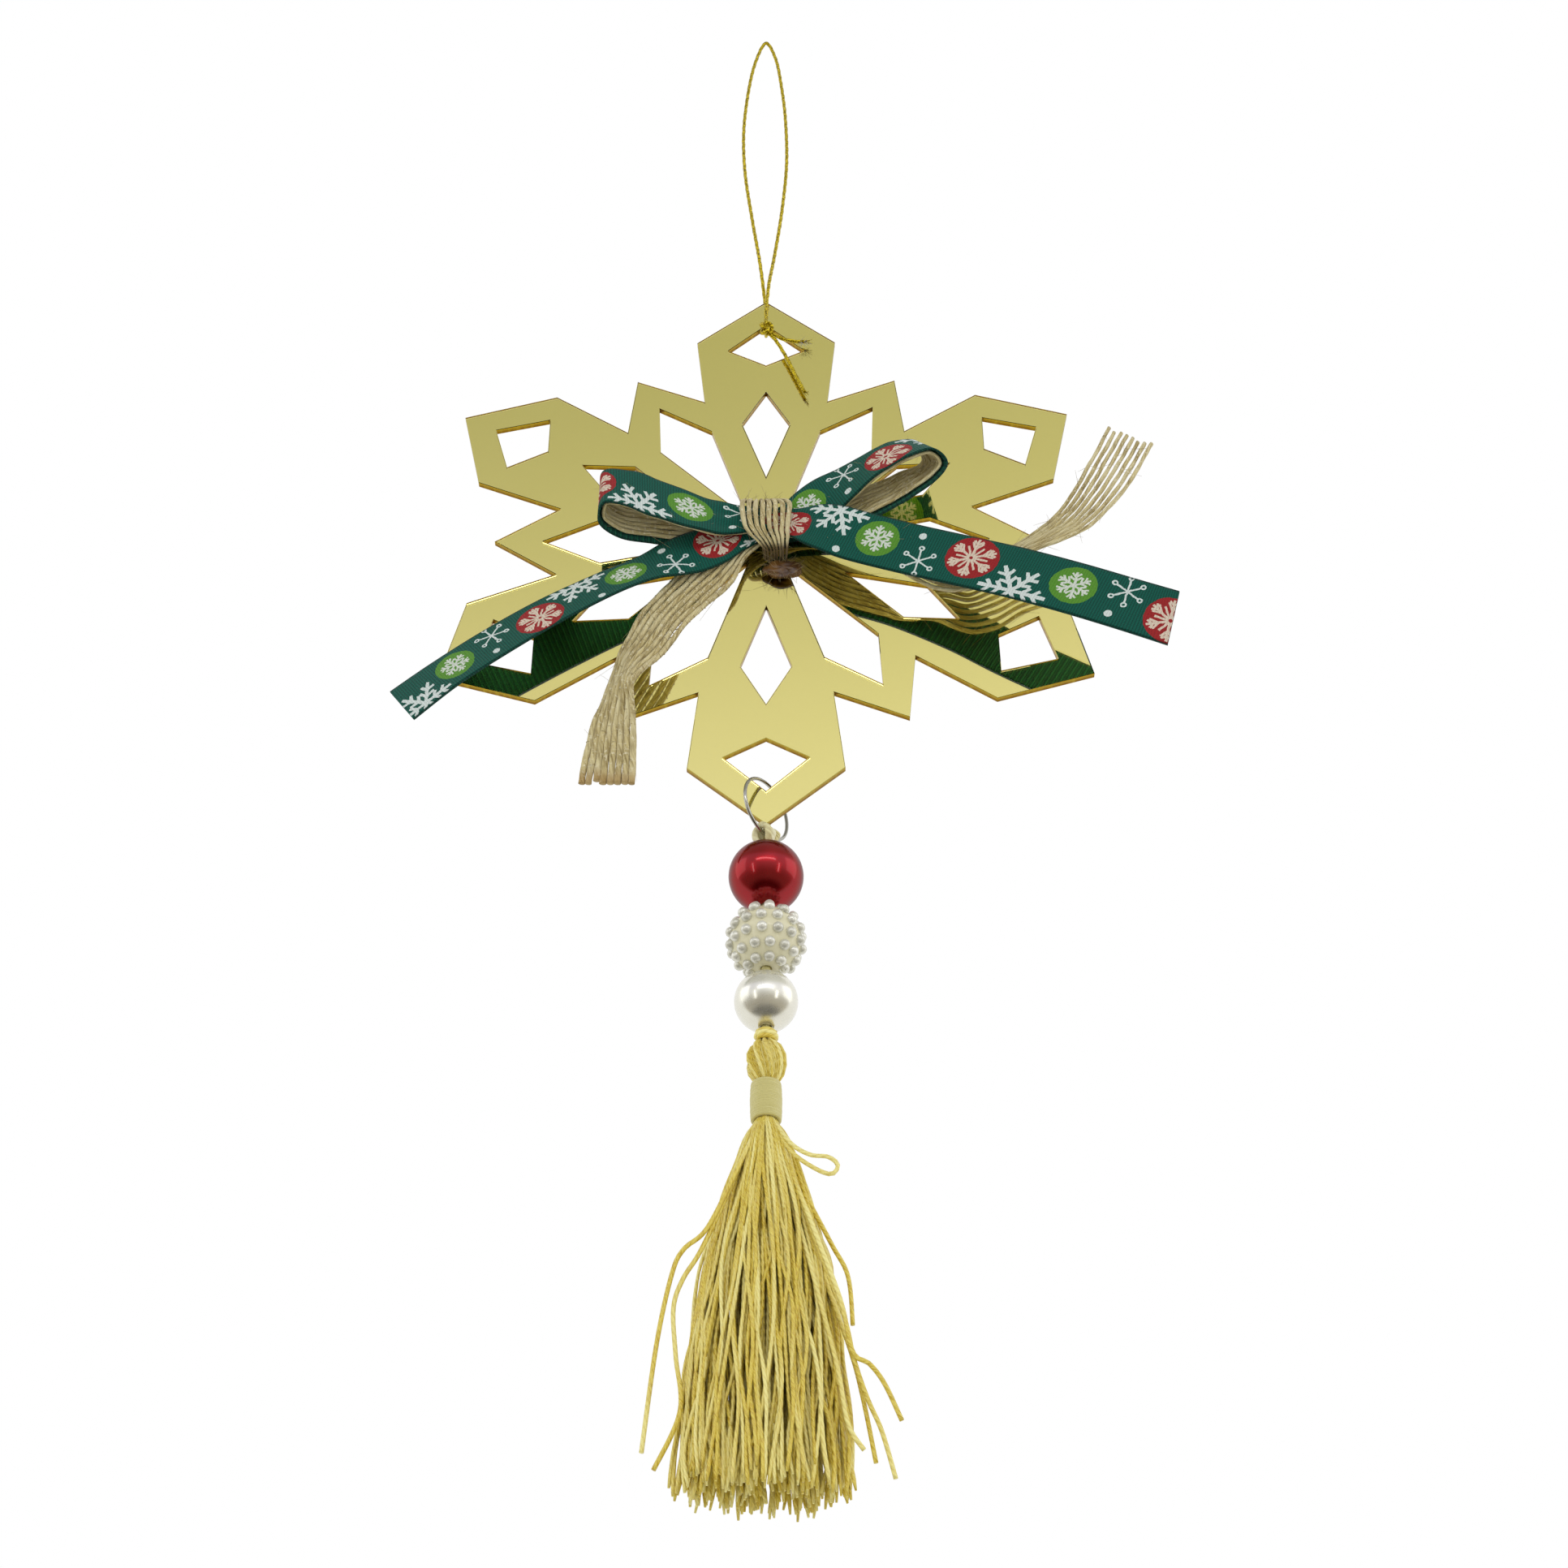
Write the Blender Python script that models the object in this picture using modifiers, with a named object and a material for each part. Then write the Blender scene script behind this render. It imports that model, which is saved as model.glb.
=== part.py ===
"""Acrylic snowflake ornament: a mirror-gold plate with a ribbon bow, a bead string and a tassel.

The ornament hangs. +Z is up, the front faces -Y and the origin is where a nail carries the loop.
Lengths are in metres, except in the tables of hand-chosen points, which are in millimetres.
In those tables x runs right and y up in the plate, from its centre, and h stands out of its front.
"""
import math

import bmesh
import bpy
from mathutils import Vector

MM = 0.001
GAP = 0.0003

# Plate: six arms with a spur between each two
ARM_COUNT = 6
PLATE_THICKNESS = 0.0010
ARM_TIP = 0.0600
ARM_SHOULDER_ALONG = 0.0490
ARM_SHOULDER_OUT = 0.0122
ARM_ROOT_ALONG = 0.0336
ARM_ROOT_OUT = 0.01065
SPUR_TIP = 0.0449

# Windows: kites on the arm axes, kites on the spur axes and lozenges in the arm heads
ARM_KITE_NEAR = 0.0150
ARM_KITE_WIDE_AT = 0.0280
ARM_KITE_OUT = 0.0041
ARM_KITE_FAR = 0.0360
HEAD_NEAR = 0.0430
HEAD_WIDE_AT = 0.0469
HEAD_OUT = 0.0067
HEAD_TO_TIP = 0.0064
SPUR_KITE_NEAR = 0.0059
SPUR_KITE_WIDE_AT = 0.0273
SPUR_KITE_OUT = 0.0050
SPUR_KITE_TO_TIP = 0.0080

# Hanging cord
LOOP_RISE = 0.0790
CORD_DIAMETER = 0.0007
CORD_BEND = 0.0014
KNOT_LENGTH = 0.0028
KNOT_WIDTH = 0.0028
KNOT_BELOW_CORNER = 0.0028
CORD_PASSES_BELOW_CORNER = 0.0019
KNOT_RIPPLE = 0.10
KNOT_TWIST = 9.0

# Where the cord lies on the plate
CORD_LANDS_ABOVE_KNOT = 0.0012
CORD_LANDING_LIFT = 0.0004
FRONT_STRAND_BELOW_TIP = 0.0026
BACK_STRAND_BELOW_TIP = 0.0015
BACK_STRAND_ABOVE_CORNER = 0.0016
STRAND_OFF_TIP = 0.9

# Bow
RIBBON_WIDTH = 0.0104
RIBBON_THICKNESS = 0.00035
JUTE_WIDTH = 0.0090
JUTE_THICKNESS = 0.0006
YARN_COUNT = 8
YARN_SHARE = 0.76
YARN_THICKNESS = 0.0008
TIE_THICKNESS = 0.0006
TIE_WIDTH = 0.0087
GLUE_LENGTH = 0.0060
GLUE_WIDTH = 0.0038
GLUE_HEIGHT = 0.0012
GLUE_RIPPLE = 0.12

# Ring, beads and the cord that they hang on
RING_WIRE = 0.00055
RING_INNER_RADIUS = 0.0048
RING_TURN = math.radians(38.0)
RING_SPLIT = math.radians(14.0)
RING_OPENING = math.radians(62.0)
RING_POINTS = 32
RED_BEAD_DIAMETER = 0.0112
BERRY_BODY_DIAMETER = 0.0103
BERRY_KNOB_DIAMETER = 0.0014
BERRY_KNOB_SHOWS = 0.42
BERRY_KNOB_BASE = 0.56
BERRY_KNOB_TOP = 0.22
BERRY_KNOB_HEIGHT = 0.8
BERRY_KNOB_SPACING = 1.7
BERRY_ROWS = 7
BERRY_FIRST_ROW = math.radians(27.0)
PEARL_DIAMETER = 0.0092
BEAD_SPACING = 0.0004
STRING_DIAMETER = 0.0014
STRAND_DIAMETER = 0.0011
STRING_RISE = 0.0019
STRING_ABOVE_BEAD = 0.0003
BIGHT_SPACING = 0.00115
BIGHT_FOOT = 0.00035
BIGHT_SHOULDER = 0.0013

# Tassel
NECK_WRAP_HEIGHT = 0.0019
NECK_WRAP_RADIUS = 0.0018
NECK_WRAP_BORE_EDGE = 0.4
NECK_WRAP_THINNEST = 0.25
HEAD_HEIGHT = 0.0071
HEAD_RADIUS = 0.00305
COLLAR_HEIGHT = 0.0060
COLLAR_RADIUS = 0.00212
COLLAR_RIDGES = 4
COLLAR_RIDGE_OUT = 0.00008
COLLAR_GROOVE_IN = 0.00006
THREAD_NECK_RADIUS = 0.0015
THREAD_START_RADIUS = 0.0010
THREAD_WRAPPED_RADIUS = 0.0012
THREADS_INTO_WRAP = 0.4
SKIRT_LENGTH = 0.0550
SKIRT_HALF_WIDTH = 0.0105
SKIRT_HALF_DEPTH = 0.0060
TASSEL_LOCKS = 11
HEAD_FLUTE = 0.05
SKIRT_FLUTE = 0.05
SKIRT_FLUTE_GROWTH = 0.07
SKIRT_HOLLOW = 0.0020

# Outlines of the head and the skirt: share of the length from the top, then of the full half width
# (and half depth)
HEAD_OUTLINE = ((0.10, 0.72), (0.30, 0.95), (0.52, 1.0), (0.74, 0.92), (0.92, 0.70))
SKIRT_OUTLINE = (
    (0.012, 0.25, 0.40), (0.09, 0.37, 0.55), (0.18, 0.52, 0.68), (0.28, 0.66, 0.78),
    (0.40, 0.81, 0.88), (0.58, 0.92, 0.95), (0.80, 0.97, 0.99), (0.995, 1.0, 1.0),
)

# Uneven lower end of the skirt: depth of each wave, waves round the skirt and where they start
SKIRT_END_WAVES = ((0.0012, 3.0, -0.97), (0.0010, 7.0, 0.0))

# Heights above the plate's front of the ribbon layers under the tie, from the plate outwards
LINING_DROP = RIBBON_THICKNESS / 2 + GAP + JUTE_THICKNESS / 2
LOW_LAYER = GAP + RIBBON_THICKNESS / 2
LOW_LINING = LOW_LAYER + LINING_DROP
MIDDLE_LINING = LOW_LINING + JUTE_THICKNESS + GAP
MIDDLE_LAYER = MIDDLE_LINING + LINING_DROP
TOP_LAYER = MIDDLE_LAYER + RIBBON_THICKNESS / 2 + GAP + JUTE_THICKNESS / 2 + LINING_DROP
TIE_HEIGHT = TOP_LAYER + RIBBON_THICKNESS / 2 + GAP + TIE_THICKNESS / 2

# Printed ribbon, from the left tail's end to the right tail's end. Each row is x, y, the rise above
# the row's layer, the direction of the width in the plate, its slope out of the plate in degrees
# (minus: the upper edge lies nearer the plate), and the share of the full width.
LEFT_TAIL = [
    (-56.6, -38.0, -0.6, 119, -20, 1.0),
    (-50.2, -31.8, -0.1, 120, -23, 1.0),
    (-43.1, -25.8, 0.3, 117, -23, 1.0),
    (-34.8, -19.4, 0.6, 115, -24, 1.0),
    (-26.0, -13.4, 0.6, 110, -26, 1.0),
    (-19.7, -9.9, 0.6, 108, -25, 1.0),
    (-15.6, -7.9, 0.7, 106, -15, 1.0),
    (-12.0, -6.4, 0.6, 106, -7, 0.97),
    (-8.0, -4.3, 0.3, 109, -3, 0.84),
    (-4.6, -2.2, 0.0, 112, 0, 0.60),
]
RIGHT_LOOP_OVER = [
    (0.0, 0.3, 0.0, 112, 0, 0.50),
    (3.6, 2.0, 0.0, 114, 0, 0.56),
    (6.6, 3.9, 0.3, 114, -1, 0.78),
    (9.8, 6.0, 1.0, 111, -8, 0.94),
    (13.2, 8.0, 2.3, 109, -20, 1.0),
    (16.4, 9.7, 3.8, 106, -26, 1.0),
    (19.8, 11.4, 5.0, 106, -28, 1.0),
    (22.6, 12.8, 5.4, 106, -30, 1.0),
    (26.4, 14.1, 4.9, 106, -35, 1.0),
]
RIGHT_LOOP_UNDER = [
    (28.4, 13.1, 4.9, 112, -38, 1.0),
    (27.0, 11.0, 3.7, 107, -34, 1.0),
    (23.4, 9.3, 2.7, 100, -24, 1.0),
    (20.9, 7.9, 2.2, 99, -23, 1.0),
    (17.4, 6.2, 1.9, 101, -18, 1.0),
    (13.0, 4.7, 1.0, 104, -9, 0.96),
    (8.6, 3.4, 0.4, 108, -3, 0.84),
    (4.2, 2.0, 0.0, 104, 0, 0.56),
    (0.0, 1.0, 0.0, 90, 0, 0.52),
]
LEFT_LOOP_UNDER = [
    (-4.0, 1.4, 0.0, 82, 0, 0.56),
    (-8.6, 2.2, 0.1, 87, 0, 0.90),
    (-13.4, 2.4, 0.4, 92, -3, 1.0),
    (-19.0, 2.5, 0.9, 92, -8, 1.0),
    (-24.0, 3.0, 1.4, 91, -11, 1.0),
    (-27.2, 4.1, 3.5, 90, -13, 1.0),
]
LEFT_LOOP_OVER = [
    (-26.6, 5.6, 2.4, 93, -14, 1.0),
    (-22.4, 4.8, 2.7, 93, -13, 1.0),
    (-18.0, 2.7, 2.6, 92, -12, 1.0),
    (-13.7, 1.3, 1.9, 91, -12, 1.0),
    (-9.8, 0.4, 1.0, 90, -14, 0.96),
    (-7.2, 0.2, 0.4, 88, -7, 0.82),
    (-4.4, 0.2, 0.0, 86, 0, 0.60),
    (0.0, 0.4, 0.0, 82, 0, 0.50),
]
RIGHT_TAIL = [
    (4.4, -0.5, 0.0, 76, 0, 0.60),
    (7.5, -2.0, 1.2, 68, 2, 0.86),
    (10.7, -3.7, 1.9, 66, 4, 0.97),
    (14.6, -5.6, 2.0, 66, 5, 1.0),
    (22.6, -8.7, 2.2, 67, 5, 1.0),
    (31.9, -12.9, 3.4, 65, 5, 1.0),
    (39.8, -17.0, 4.9, 63, 5, 1.0),
    (48.3, -21.4, 6.0, 63, 5, 1.0),
    (56.4, -25.7, 6.8, 64, 5, 1.0),
    (63.1, -29.6, 7.7, 75, 5, 1.0),
]
RIBBON_ROUTE = (
    [(MIDDLE_LAYER, row) for row in LEFT_TAIL + RIGHT_LOOP_OVER]
    + [(LOW_LAYER, row) for row in RIGHT_LOOP_UNDER + LEFT_LOOP_UNDER]
    + [(TOP_LAYER, row) for row in LEFT_LOOP_OVER + RIGHT_TAIL]
)

# The jute lines the bow from just left of the tie to this row of the right tail, and then leaves it.
LINING_START = len(LEFT_TAIL)
LINING_END = len(RIBBON_ROUTE) - len(RIGHT_TAIL) + 4
JUTE_LEFT_TAIL = [
    (-24.2, -54.4, 0.1, 173, -8, 1.0),
    (-23.9, -49.5, 0.6, 165, -17, 1.0),
    (-23.5, -43.4, 1.3, 155, -29, 1.0),
    (-22.9, -38.5, 1.9, 137, -40, 1.0),
    (-22.3, -34.6, 2.3, 117, -39, 1.0),
    (-21.2, -30.8, 2.2, 110, -28, 1.0),
    (-19.0, -26.5, 1.6, 119, -17, 1.0),
    (-16.2, -20.4, 1.0, 131, -8, 0.95),
    (-12.7, -15.2, 0.7, 137, -2, 0.94),
    (-8.6, -9.6, 0.4, 138, 0, 0.96),
    (-4.6, -4.0, 0.05, 130, 0, 0.58),
]
JUTE_RIGHT_TAIL = [
    (28.6, -10.8, -1.0, 68, 0, 1.0),
    (32.8, -12.0, -0.7, 74, -10, 1.0),
    (37.0, -10.4, -0.5, 84, -24, 1.0),
    (41.6, -6.9, 0.0, 95, -35, 1.0),
    (46.4, -4.2, 0.6, 113, -30, 1.0),
    (50.0, -1.6, 1.1, 123, -23, 1.0),
    (53.4, 2.7, 1.5, 129, -16, 1.0),
    (57.4, 9.6, 1.9, 136, -6, 1.0),
    (61.3, 17.8, 1.9, 144, -3, 1.0),
]
BAND_START = 1
BAND_END = 4
YARN_TIP_LENGTHS = (0.0, 0.7, -0.5, 0.5, -0.3, 0.8, 0.2, -0.6)

# Tie over the bow, from its foot above the bow to its foot below: x, y, rise, share of the width
TIE_ROUTE = [
    (-0.6, 5.5, None, 0.40),
    (-0.6, 5.6, -3.6, 0.42),
    (-0.7, 5.6, -2.4, 0.48),
    (-0.3, 5.0, -1.1, 0.78),
    (0.0, 3.4, -0.1, 1.0),
    (0.0, 0.8, 0.0, 1.0),
    (0.1, -2.0, 0.05, 0.92),
    (0.4, -3.4, -0.05, 0.70),
    (1.0, -4.4, -0.8, 0.57),
    (1.5, -4.9, -2.2, 0.48),
    (1.6, -5.0, -3.5, 0.45),
    (1.6, -4.8, None, 0.44),
]
GLUE_CENTRE = (2.6, -7.6)

# Strands of the hanging loop, going up and coming down: x and the height above the plate's tip
LOOP_RIGHT = [
    (0.3, 1.5), (0.6, 5.0), (1.6, 14.0), (3.0, 27.0),
    (3.9, 41.0), (3.7, 55.0), (2.9, 66.0), (1.9, 74.0),
]
LOOP_LEFT = [
    (-2.0, 73.5), (-3.4, 64.0), (-4.3, 51.0), (-4.0, 38.0),
    (-2.6, 24.0), (-1.2, 12.0), (-0.4, 4.0),
]
LOOP_POINTS = 60
LOOP_STEPS = 12
ROUTE_STEPS = 12
TAIL_STEPS = 6
RIBBON_TURN = math.radians(13.0)
TAIL_TURN = math.radians(25.0)
TIE_TURN = math.radians(20.0)
LONGEST_STEP = 0.0052

# Cut ends of the cord, from the knot's centre: x, y and the height over the knot's middle
KNOT_TAILS = (
    [(0.9, -0.6, -0.5), (2.6, -1.6, -0.9), (4.8, -2.3, -1.0), (6.8, -2.6, -0.9)],
    [(0.6, -0.9, -0.4), (2.0, -3.0, -0.7), (3.6, -6.8, -0.9), (5.2, -11.4, -1.0), (6.7, -15.6, -1.0)],
)

PLATE_CENTRE_Z = -(LOOP_RISE + ARM_TIP)


def clear_scene():
    for item in list(bpy.data.objects):
        bpy.data.objects.remove(item, do_unlink=True)


def new_collection(name):
    group = bpy.data.collections.new(name)
    bpy.context.scene.collection.children.link(group)
    return group


def make_material(name, colour, roughness, metallic=0.0):
    material = bpy.data.materials.new(name)
    material.use_nodes = True
    shader = material.node_tree.nodes["Principled BSDF"]
    shader.inputs["Base Color"].default_value = (*colour, 1.0)
    shader.inputs["Roughness"].default_value = roughness
    shader.inputs["Metallic"].default_value = metallic
    return material


def add_object(name, data, group, material=None):
    item = bpy.data.objects.new(name, data)
    group.objects.link(item)
    if material:
        data.materials.append(material)
    return item


def front_point(x, y, height):
    """World place of a point x right and y up from the plate's centre, height out of its front."""
    return Vector((x, -(PLATE_THICKNESS / 2 + height), PLATE_CENTRE_Z + y))


def catmull_rom(rows, steps):
    """Rows of numbers along a smooth curve through the given rows."""
    last = len(rows) - 1
    result = []
    for index in range(last):
        before = rows[max(index - 1, 0)]
        start = rows[index]
        end = rows[index + 1]
        after = rows[min(index + 2, last)]
        for step in range(steps):
            t = step / steps
            result.append([
                0.5 * (2 * b + (c - a) * t + (2 * a - 5 * b + 4 * c - d) * t ** 2
                       + (3 * b - a - 3 * c + d) * t ** 3)
                for a, b, c, d in zip(before, start, end, after)
            ])
    result.append(list(rows[last]))
    return result


def even_points(points, count):
    """Count points at equal steps along a dense line of points."""
    lengths = [0.0]
    for start, end in zip(points, points[1:]):
        lengths.append(lengths[-1] + (end - start).length)
    result = []
    segment = 0
    for index in range(count):
        target = lengths[-1] * index / (count - 1)
        while segment < len(points) - 2 and lengths[segment + 1] < target:
            segment += 1
        span = lengths[segment + 1] - lengths[segment]
        share = (target - lengths[segment]) / span
        result.append(points[segment].lerp(points[segment + 1], share))
    return result


def add_tube(name, points, diameter, group, material=None, fineness=2):
    """Round cord or wire of filled ends along the points, which are in world space."""
    data = bpy.data.curves.new(name, "CURVE")
    data.dimensions = "3D"
    data.bevel_depth = diameter / 2
    data.bevel_resolution = fineness
    data.use_fill_caps = True
    spline = data.splines.new("POLY")
    spline.points.add(len(points) - 1)
    for target, point in zip(spline.points, points):
        target.co = (*point, 1.0)
    return add_object(name, data, group, material)


def curve_to_mesh(item, group, material=None):
    """Mesh object of the same name as a curve object, welded, in the curve's place."""
    name = item.name
    bpy.context.view_layer.update()
    evaluated = item.evaluated_get(bpy.context.evaluated_depsgraph_get())
    data = bpy.data.meshes.new_from_object(evaluated)
    mesh = bmesh.new()
    mesh.from_mesh(data)
    bmesh.ops.remove_doubles(mesh, verts=mesh.verts, dist=1e-6)
    mesh.to_mesh(data)
    mesh.free()
    place = item.matrix_world.copy()
    bpy.data.objects.remove(item, do_unlink=True)
    data.materials.clear()
    result = add_object(name, data, group, material)
    result.matrix_world = place
    return result


def add_union(item, other):
    """Join another closed mesh to an object, and keep it as a hidden guide."""
    other.hide_render = True
    other.display_type = "WIRE"
    union = item.modifiers.new("join " + other.name, "BOOLEAN")
    union.operation = "UNION"
    union.solver = "EXACT"
    union.object = other


def turned(name, outline, group, material, steps=20):
    """Body turned about Z from an outline of (radius, height), which runs down its outer side."""
    mesh = bmesh.new()
    points = [mesh.verts.new((radius, 0.0, height)) for radius, height in outline]
    for start, end in zip(points, points[1:] + points[:1]):
        mesh.edges.new((start, end))
    data = bpy.data.meshes.new(name)
    mesh.to_mesh(data)
    mesh.free()
    item = add_object(name, data, group, material)
    screw = item.modifiers.new("turn", "SCREW")
    screw.axis = "Z"
    screw.steps = steps
    screw.render_steps = steps
    screw.use_merge_vertices = True
    screw.merge_threshold = 1e-5
    screw.use_smooth_shade = True
    return item


def polar(radius_along, out, angle):
    """Point at a distance along an axis at an angle, and out to its left."""
    return (
        radius_along * math.cos(angle) - out * math.sin(angle),
        radius_along * math.sin(angle) + out * math.cos(angle),
    )


def kite(near, wide_at, out, far, angle):
    return [
        polar(near, 0.0, angle),
        polar(wide_at, -out, angle),
        polar(far, 0.0, angle),
        polar(wide_at, out, angle),
    ]


def make_plate(group, material):
    step = 2 * math.pi / ARM_COUNT
    outline = []
    windows = []
    for index in range(ARM_COUNT):
        arm = math.pi / 2 + index * step
        spur = arm + step / 2
        outline += [
            polar(ARM_ROOT_ALONG, -ARM_ROOT_OUT, arm),
            polar(ARM_SHOULDER_ALONG, -ARM_SHOULDER_OUT, arm),
            polar(ARM_TIP, 0.0, arm),
            polar(ARM_SHOULDER_ALONG, ARM_SHOULDER_OUT, arm),
            polar(ARM_ROOT_ALONG, ARM_ROOT_OUT, arm),
            polar(SPUR_TIP, 0.0, spur),
        ]
        windows += [
            kite(ARM_KITE_NEAR, ARM_KITE_WIDE_AT, ARM_KITE_OUT, ARM_KITE_FAR, arm),
            kite(HEAD_NEAR, HEAD_WIDE_AT, HEAD_OUT, ARM_TIP - HEAD_TO_TIP, arm),
            kite(SPUR_KITE_NEAR, SPUR_KITE_WIDE_AT, SPUR_KITE_OUT, SPUR_TIP - SPUR_KITE_TO_TIP, spur),
        ]
    data = bpy.data.curves.new("snowflake_plate", "CURVE")
    data.dimensions = "2D"
    data.fill_mode = "BOTH"
    data.extrude = PLATE_THICKNESS / 2
    for corners in [outline] + windows:
        spline = data.splines.new("POLY")
        spline.points.add(len(corners) - 1)
        spline.use_cyclic_u = True
        for target, (x, y) in zip(spline.points, corners):
            target.co = (x, y, 0.0, 1.0)
    item = add_object("snowflake_plate", data, group, material)
    item.location = (0.0, 0.0, PLATE_CENTRE_Z)
    item.rotation_euler = (math.pi / 2, 0.0, 0.0)
    return item


def route_rows(route):
    """Rows of x, y, height, width direction, slope and width share, in metres and radians."""
    return [
        [x * MM, y * MM, layer + rise * MM, math.radians(direction), math.radians(slope), share]
        for layer, (x, y, rise, direction, slope, share) in route
    ]


def strip_frames(rows):
    """Centre, width direction and face normal of a ribbon at each row of its route."""
    centres = [Vector(row[:3]) for row in rows]
    frames = []
    for index, row in enumerate(rows):
        along = centres[min(index + 1, len(rows) - 1)] - centres[max(index - 1, 0)]
        along.normalize()
        direction, slope = row[3], row[4]
        across = Vector((
            math.cos(direction) * math.cos(slope),
            math.sin(direction) * math.cos(slope),
            math.sin(slope),
        ))
        normal = along.cross(across)
        frames.append((centres[index], across, normal.normalized(), row[5], along))
    return frames


def needed(frames, turn=RIBBON_TURN):
    """Numbers of the frames that the ribbon's bends and twists need."""
    kept = [0]
    for number in range(1, len(frames) - 1):
        frame, last = frames[number], frames[kept[-1]]
        bend = max(frame[4].angle(last[4]), frame[1].angle(last[1]))
        if bend > turn or (frame[0] - last[0]).length > LONGEST_STEP:
            kept.append(number)
    kept.append(len(frames) - 1)
    return kept


def add_strip(name, frames, width, edges, thickness, group, material=None, yarns=False, tips=None):
    """Ribbon through the frames, with its edges and seams at shares of its width.

    As yarns, only every other column is made. Tips lengthen the end of each of them.
    """
    mesh = bmesh.new()
    grid = []
    for number, (centre, across, _normal, share, along) in enumerate(frames):
        lean = max(across.cross(along).length, 0.5)
        line = []
        for place, edge in enumerate(edges):
            point = centre + across * ((edge - 0.5) * width * share / lean)
            if tips and number == len(frames) - 1:
                point = point + along * tips[place // 2] * MM
            line.append(mesh.verts.new(front_point(*point)))
        grid.append(line)
    for upper, lower in zip(grid, grid[1:]):
        for column in range(0, len(edges) - 1, 2 if yarns else 1):
            mesh.faces.new((upper[column], lower[column], lower[column + 1], upper[column + 1]))
    data = bpy.data.meshes.new(name)
    mesh.to_mesh(data)
    mesh.free()
    item = add_object(name, data, group, material)
    solidify = item.modifiers.new("cloth thickness", "SOLIDIFY")
    solidify.thickness = thickness
    solidify.offset = 0.0
    return item


def printed_frames():
    """Frames of the printed ribbon, the ones to keep and the kept ones that the jute lines."""
    rows = catmull_rom(route_rows(RIBBON_ROUTE), ROUTE_STEPS)
    frames = strip_frames(rows)
    kept = needed(frames)
    lined = [k for k in kept if LINING_START * ROUTE_STEPS <= k <= LINING_END * ROUTE_STEPS]
    return rows, frames, kept, lined


def make_ribbon(group, material):
    _rows, frames, kept, _lined = printed_frames()
    shown = [frames[number] for number in kept]
    return add_strip("printed_ribbon", shown, RIBBON_WIDTH, (0.0, 0.5, 1.0), RIBBON_THICKNESS,
                     group, material)


def jute_frames():
    """Frames of the jute: its left tail, the lining behind the print, and its right tail."""
    rows, frames, _kept, lined = printed_frames()
    lining = []
    for number in lined:
        centre, normal = frames[number][0], frames[number][2]
        lining.append([*(centre - normal * LINING_DROP), *rows[number][3:]])
    left_rows = route_rows([(MIDDLE_LINING, row) for row in JUTE_LEFT_TAIL])
    right_rows = route_rows([(TOP_LAYER, row) for row in JUTE_RIGHT_TAIL])
    left = catmull_rom(left_rows + lining[:2], TAIL_STEPS)[:len(left_rows) * TAIL_STEPS]
    right = catmull_rom(lining[-2:] + right_rows, TAIL_STEPS)[TAIL_STEPS + 1:]
    whole = strip_frames(left + lining + right)
    left_part = whole[:len(left)]
    right_part = whole[-len(right):]
    return (
        [left_part[number] for number in needed(left_part, TAIL_TURN)[:-1]],
        whole[len(left):len(left) + len(lining)],
        [right_part[number] for number in needed(right_part, TAIL_TURN)[1:]],
    )


def make_jute(group, guides, material):
    """Jute ribbon: a band with its yarns loose at both ends, and far up the right tail."""
    left, lining, right = jute_frames()
    frames = left + lining + right
    pitch = 1.0 / (YARN_COUNT - 1 + YARN_SHARE)
    seams = []
    for yarn in range(YARN_COUNT):
        seams += [yarn * pitch, (yarn + YARN_SHARE) * pitch]
    band_end = len(left) + len(lining) + BAND_END
    item = add_strip("jute_ribbon", frames[BAND_START:band_end + 1], JUTE_WIDTH, (0.0, 0.5, 1.0),
                     JUTE_THICKNESS, group, material)
    left_ends = [(centre, across, normal, share, -along)
                 for centre, across, normal, share, along in reversed(frames[:BAND_START + 2])]
    for number, ends in enumerate((left_ends, frames[band_end - 1:])):
        yarns = add_strip("jute yarns %d" % number, ends, JUTE_WIDTH, seams, YARN_THICKNESS, guides,
                          yarns=True, tips=YARN_TIP_LENGTHS)
        add_union(item, yarns)
    return item


def make_tie(group, material):
    rows = []
    for x, y, rise, share in TIE_ROUTE:
        height = GAP if rise is None else TIE_HEIGHT + rise * MM
        rows.append([x * MM, y * MM, height, 0.0, 0.0, share])
    frames = strip_frames(catmull_rom(rows, 4))
    shown = [frames[number] for number in needed(frames, TIE_TURN)]
    return add_strip("jute_tie", shown, TIE_WIDTH, (0.0, 0.25, 0.5, 0.75, 1.0), TIE_THICKNESS,
                     group, material)


def make_glue(group, material):
    mesh = bmesh.new()
    bmesh.ops.create_uvsphere(mesh, u_segments=12, v_segments=6, radius=0.5)
    for vert in mesh.verts:
        ripple = 1.0 + GLUE_RIPPLE * math.sin(3 * math.atan2(vert.co.y, vert.co.x) + 0.7)
        vert.co.x *= ripple
        vert.co.y *= ripple
    data = bpy.data.meshes.new("glue_spot")
    mesh.to_mesh(data)
    mesh.free()
    item = add_object("glue_spot", data, group, material)
    item.scale = (GLUE_LENGTH, GLUE_WIDTH, GLUE_HEIGHT)
    item.rotation_euler = (math.pi / 2, 0.0, 0.0)
    item.location = front_point(GLUE_CENTRE[0] * MM, GLUE_CENTRE[1] * MM, GAP + GLUE_HEIGHT / 2)
    return item


def knot_centre():
    """Knot in front of the top window's upper corner."""
    corner = ARM_TIP - HEAD_TO_TIP
    return (0.0, corner - KNOT_BELOW_CORNER, GAP + KNOT_WIDTH / 2)


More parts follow.
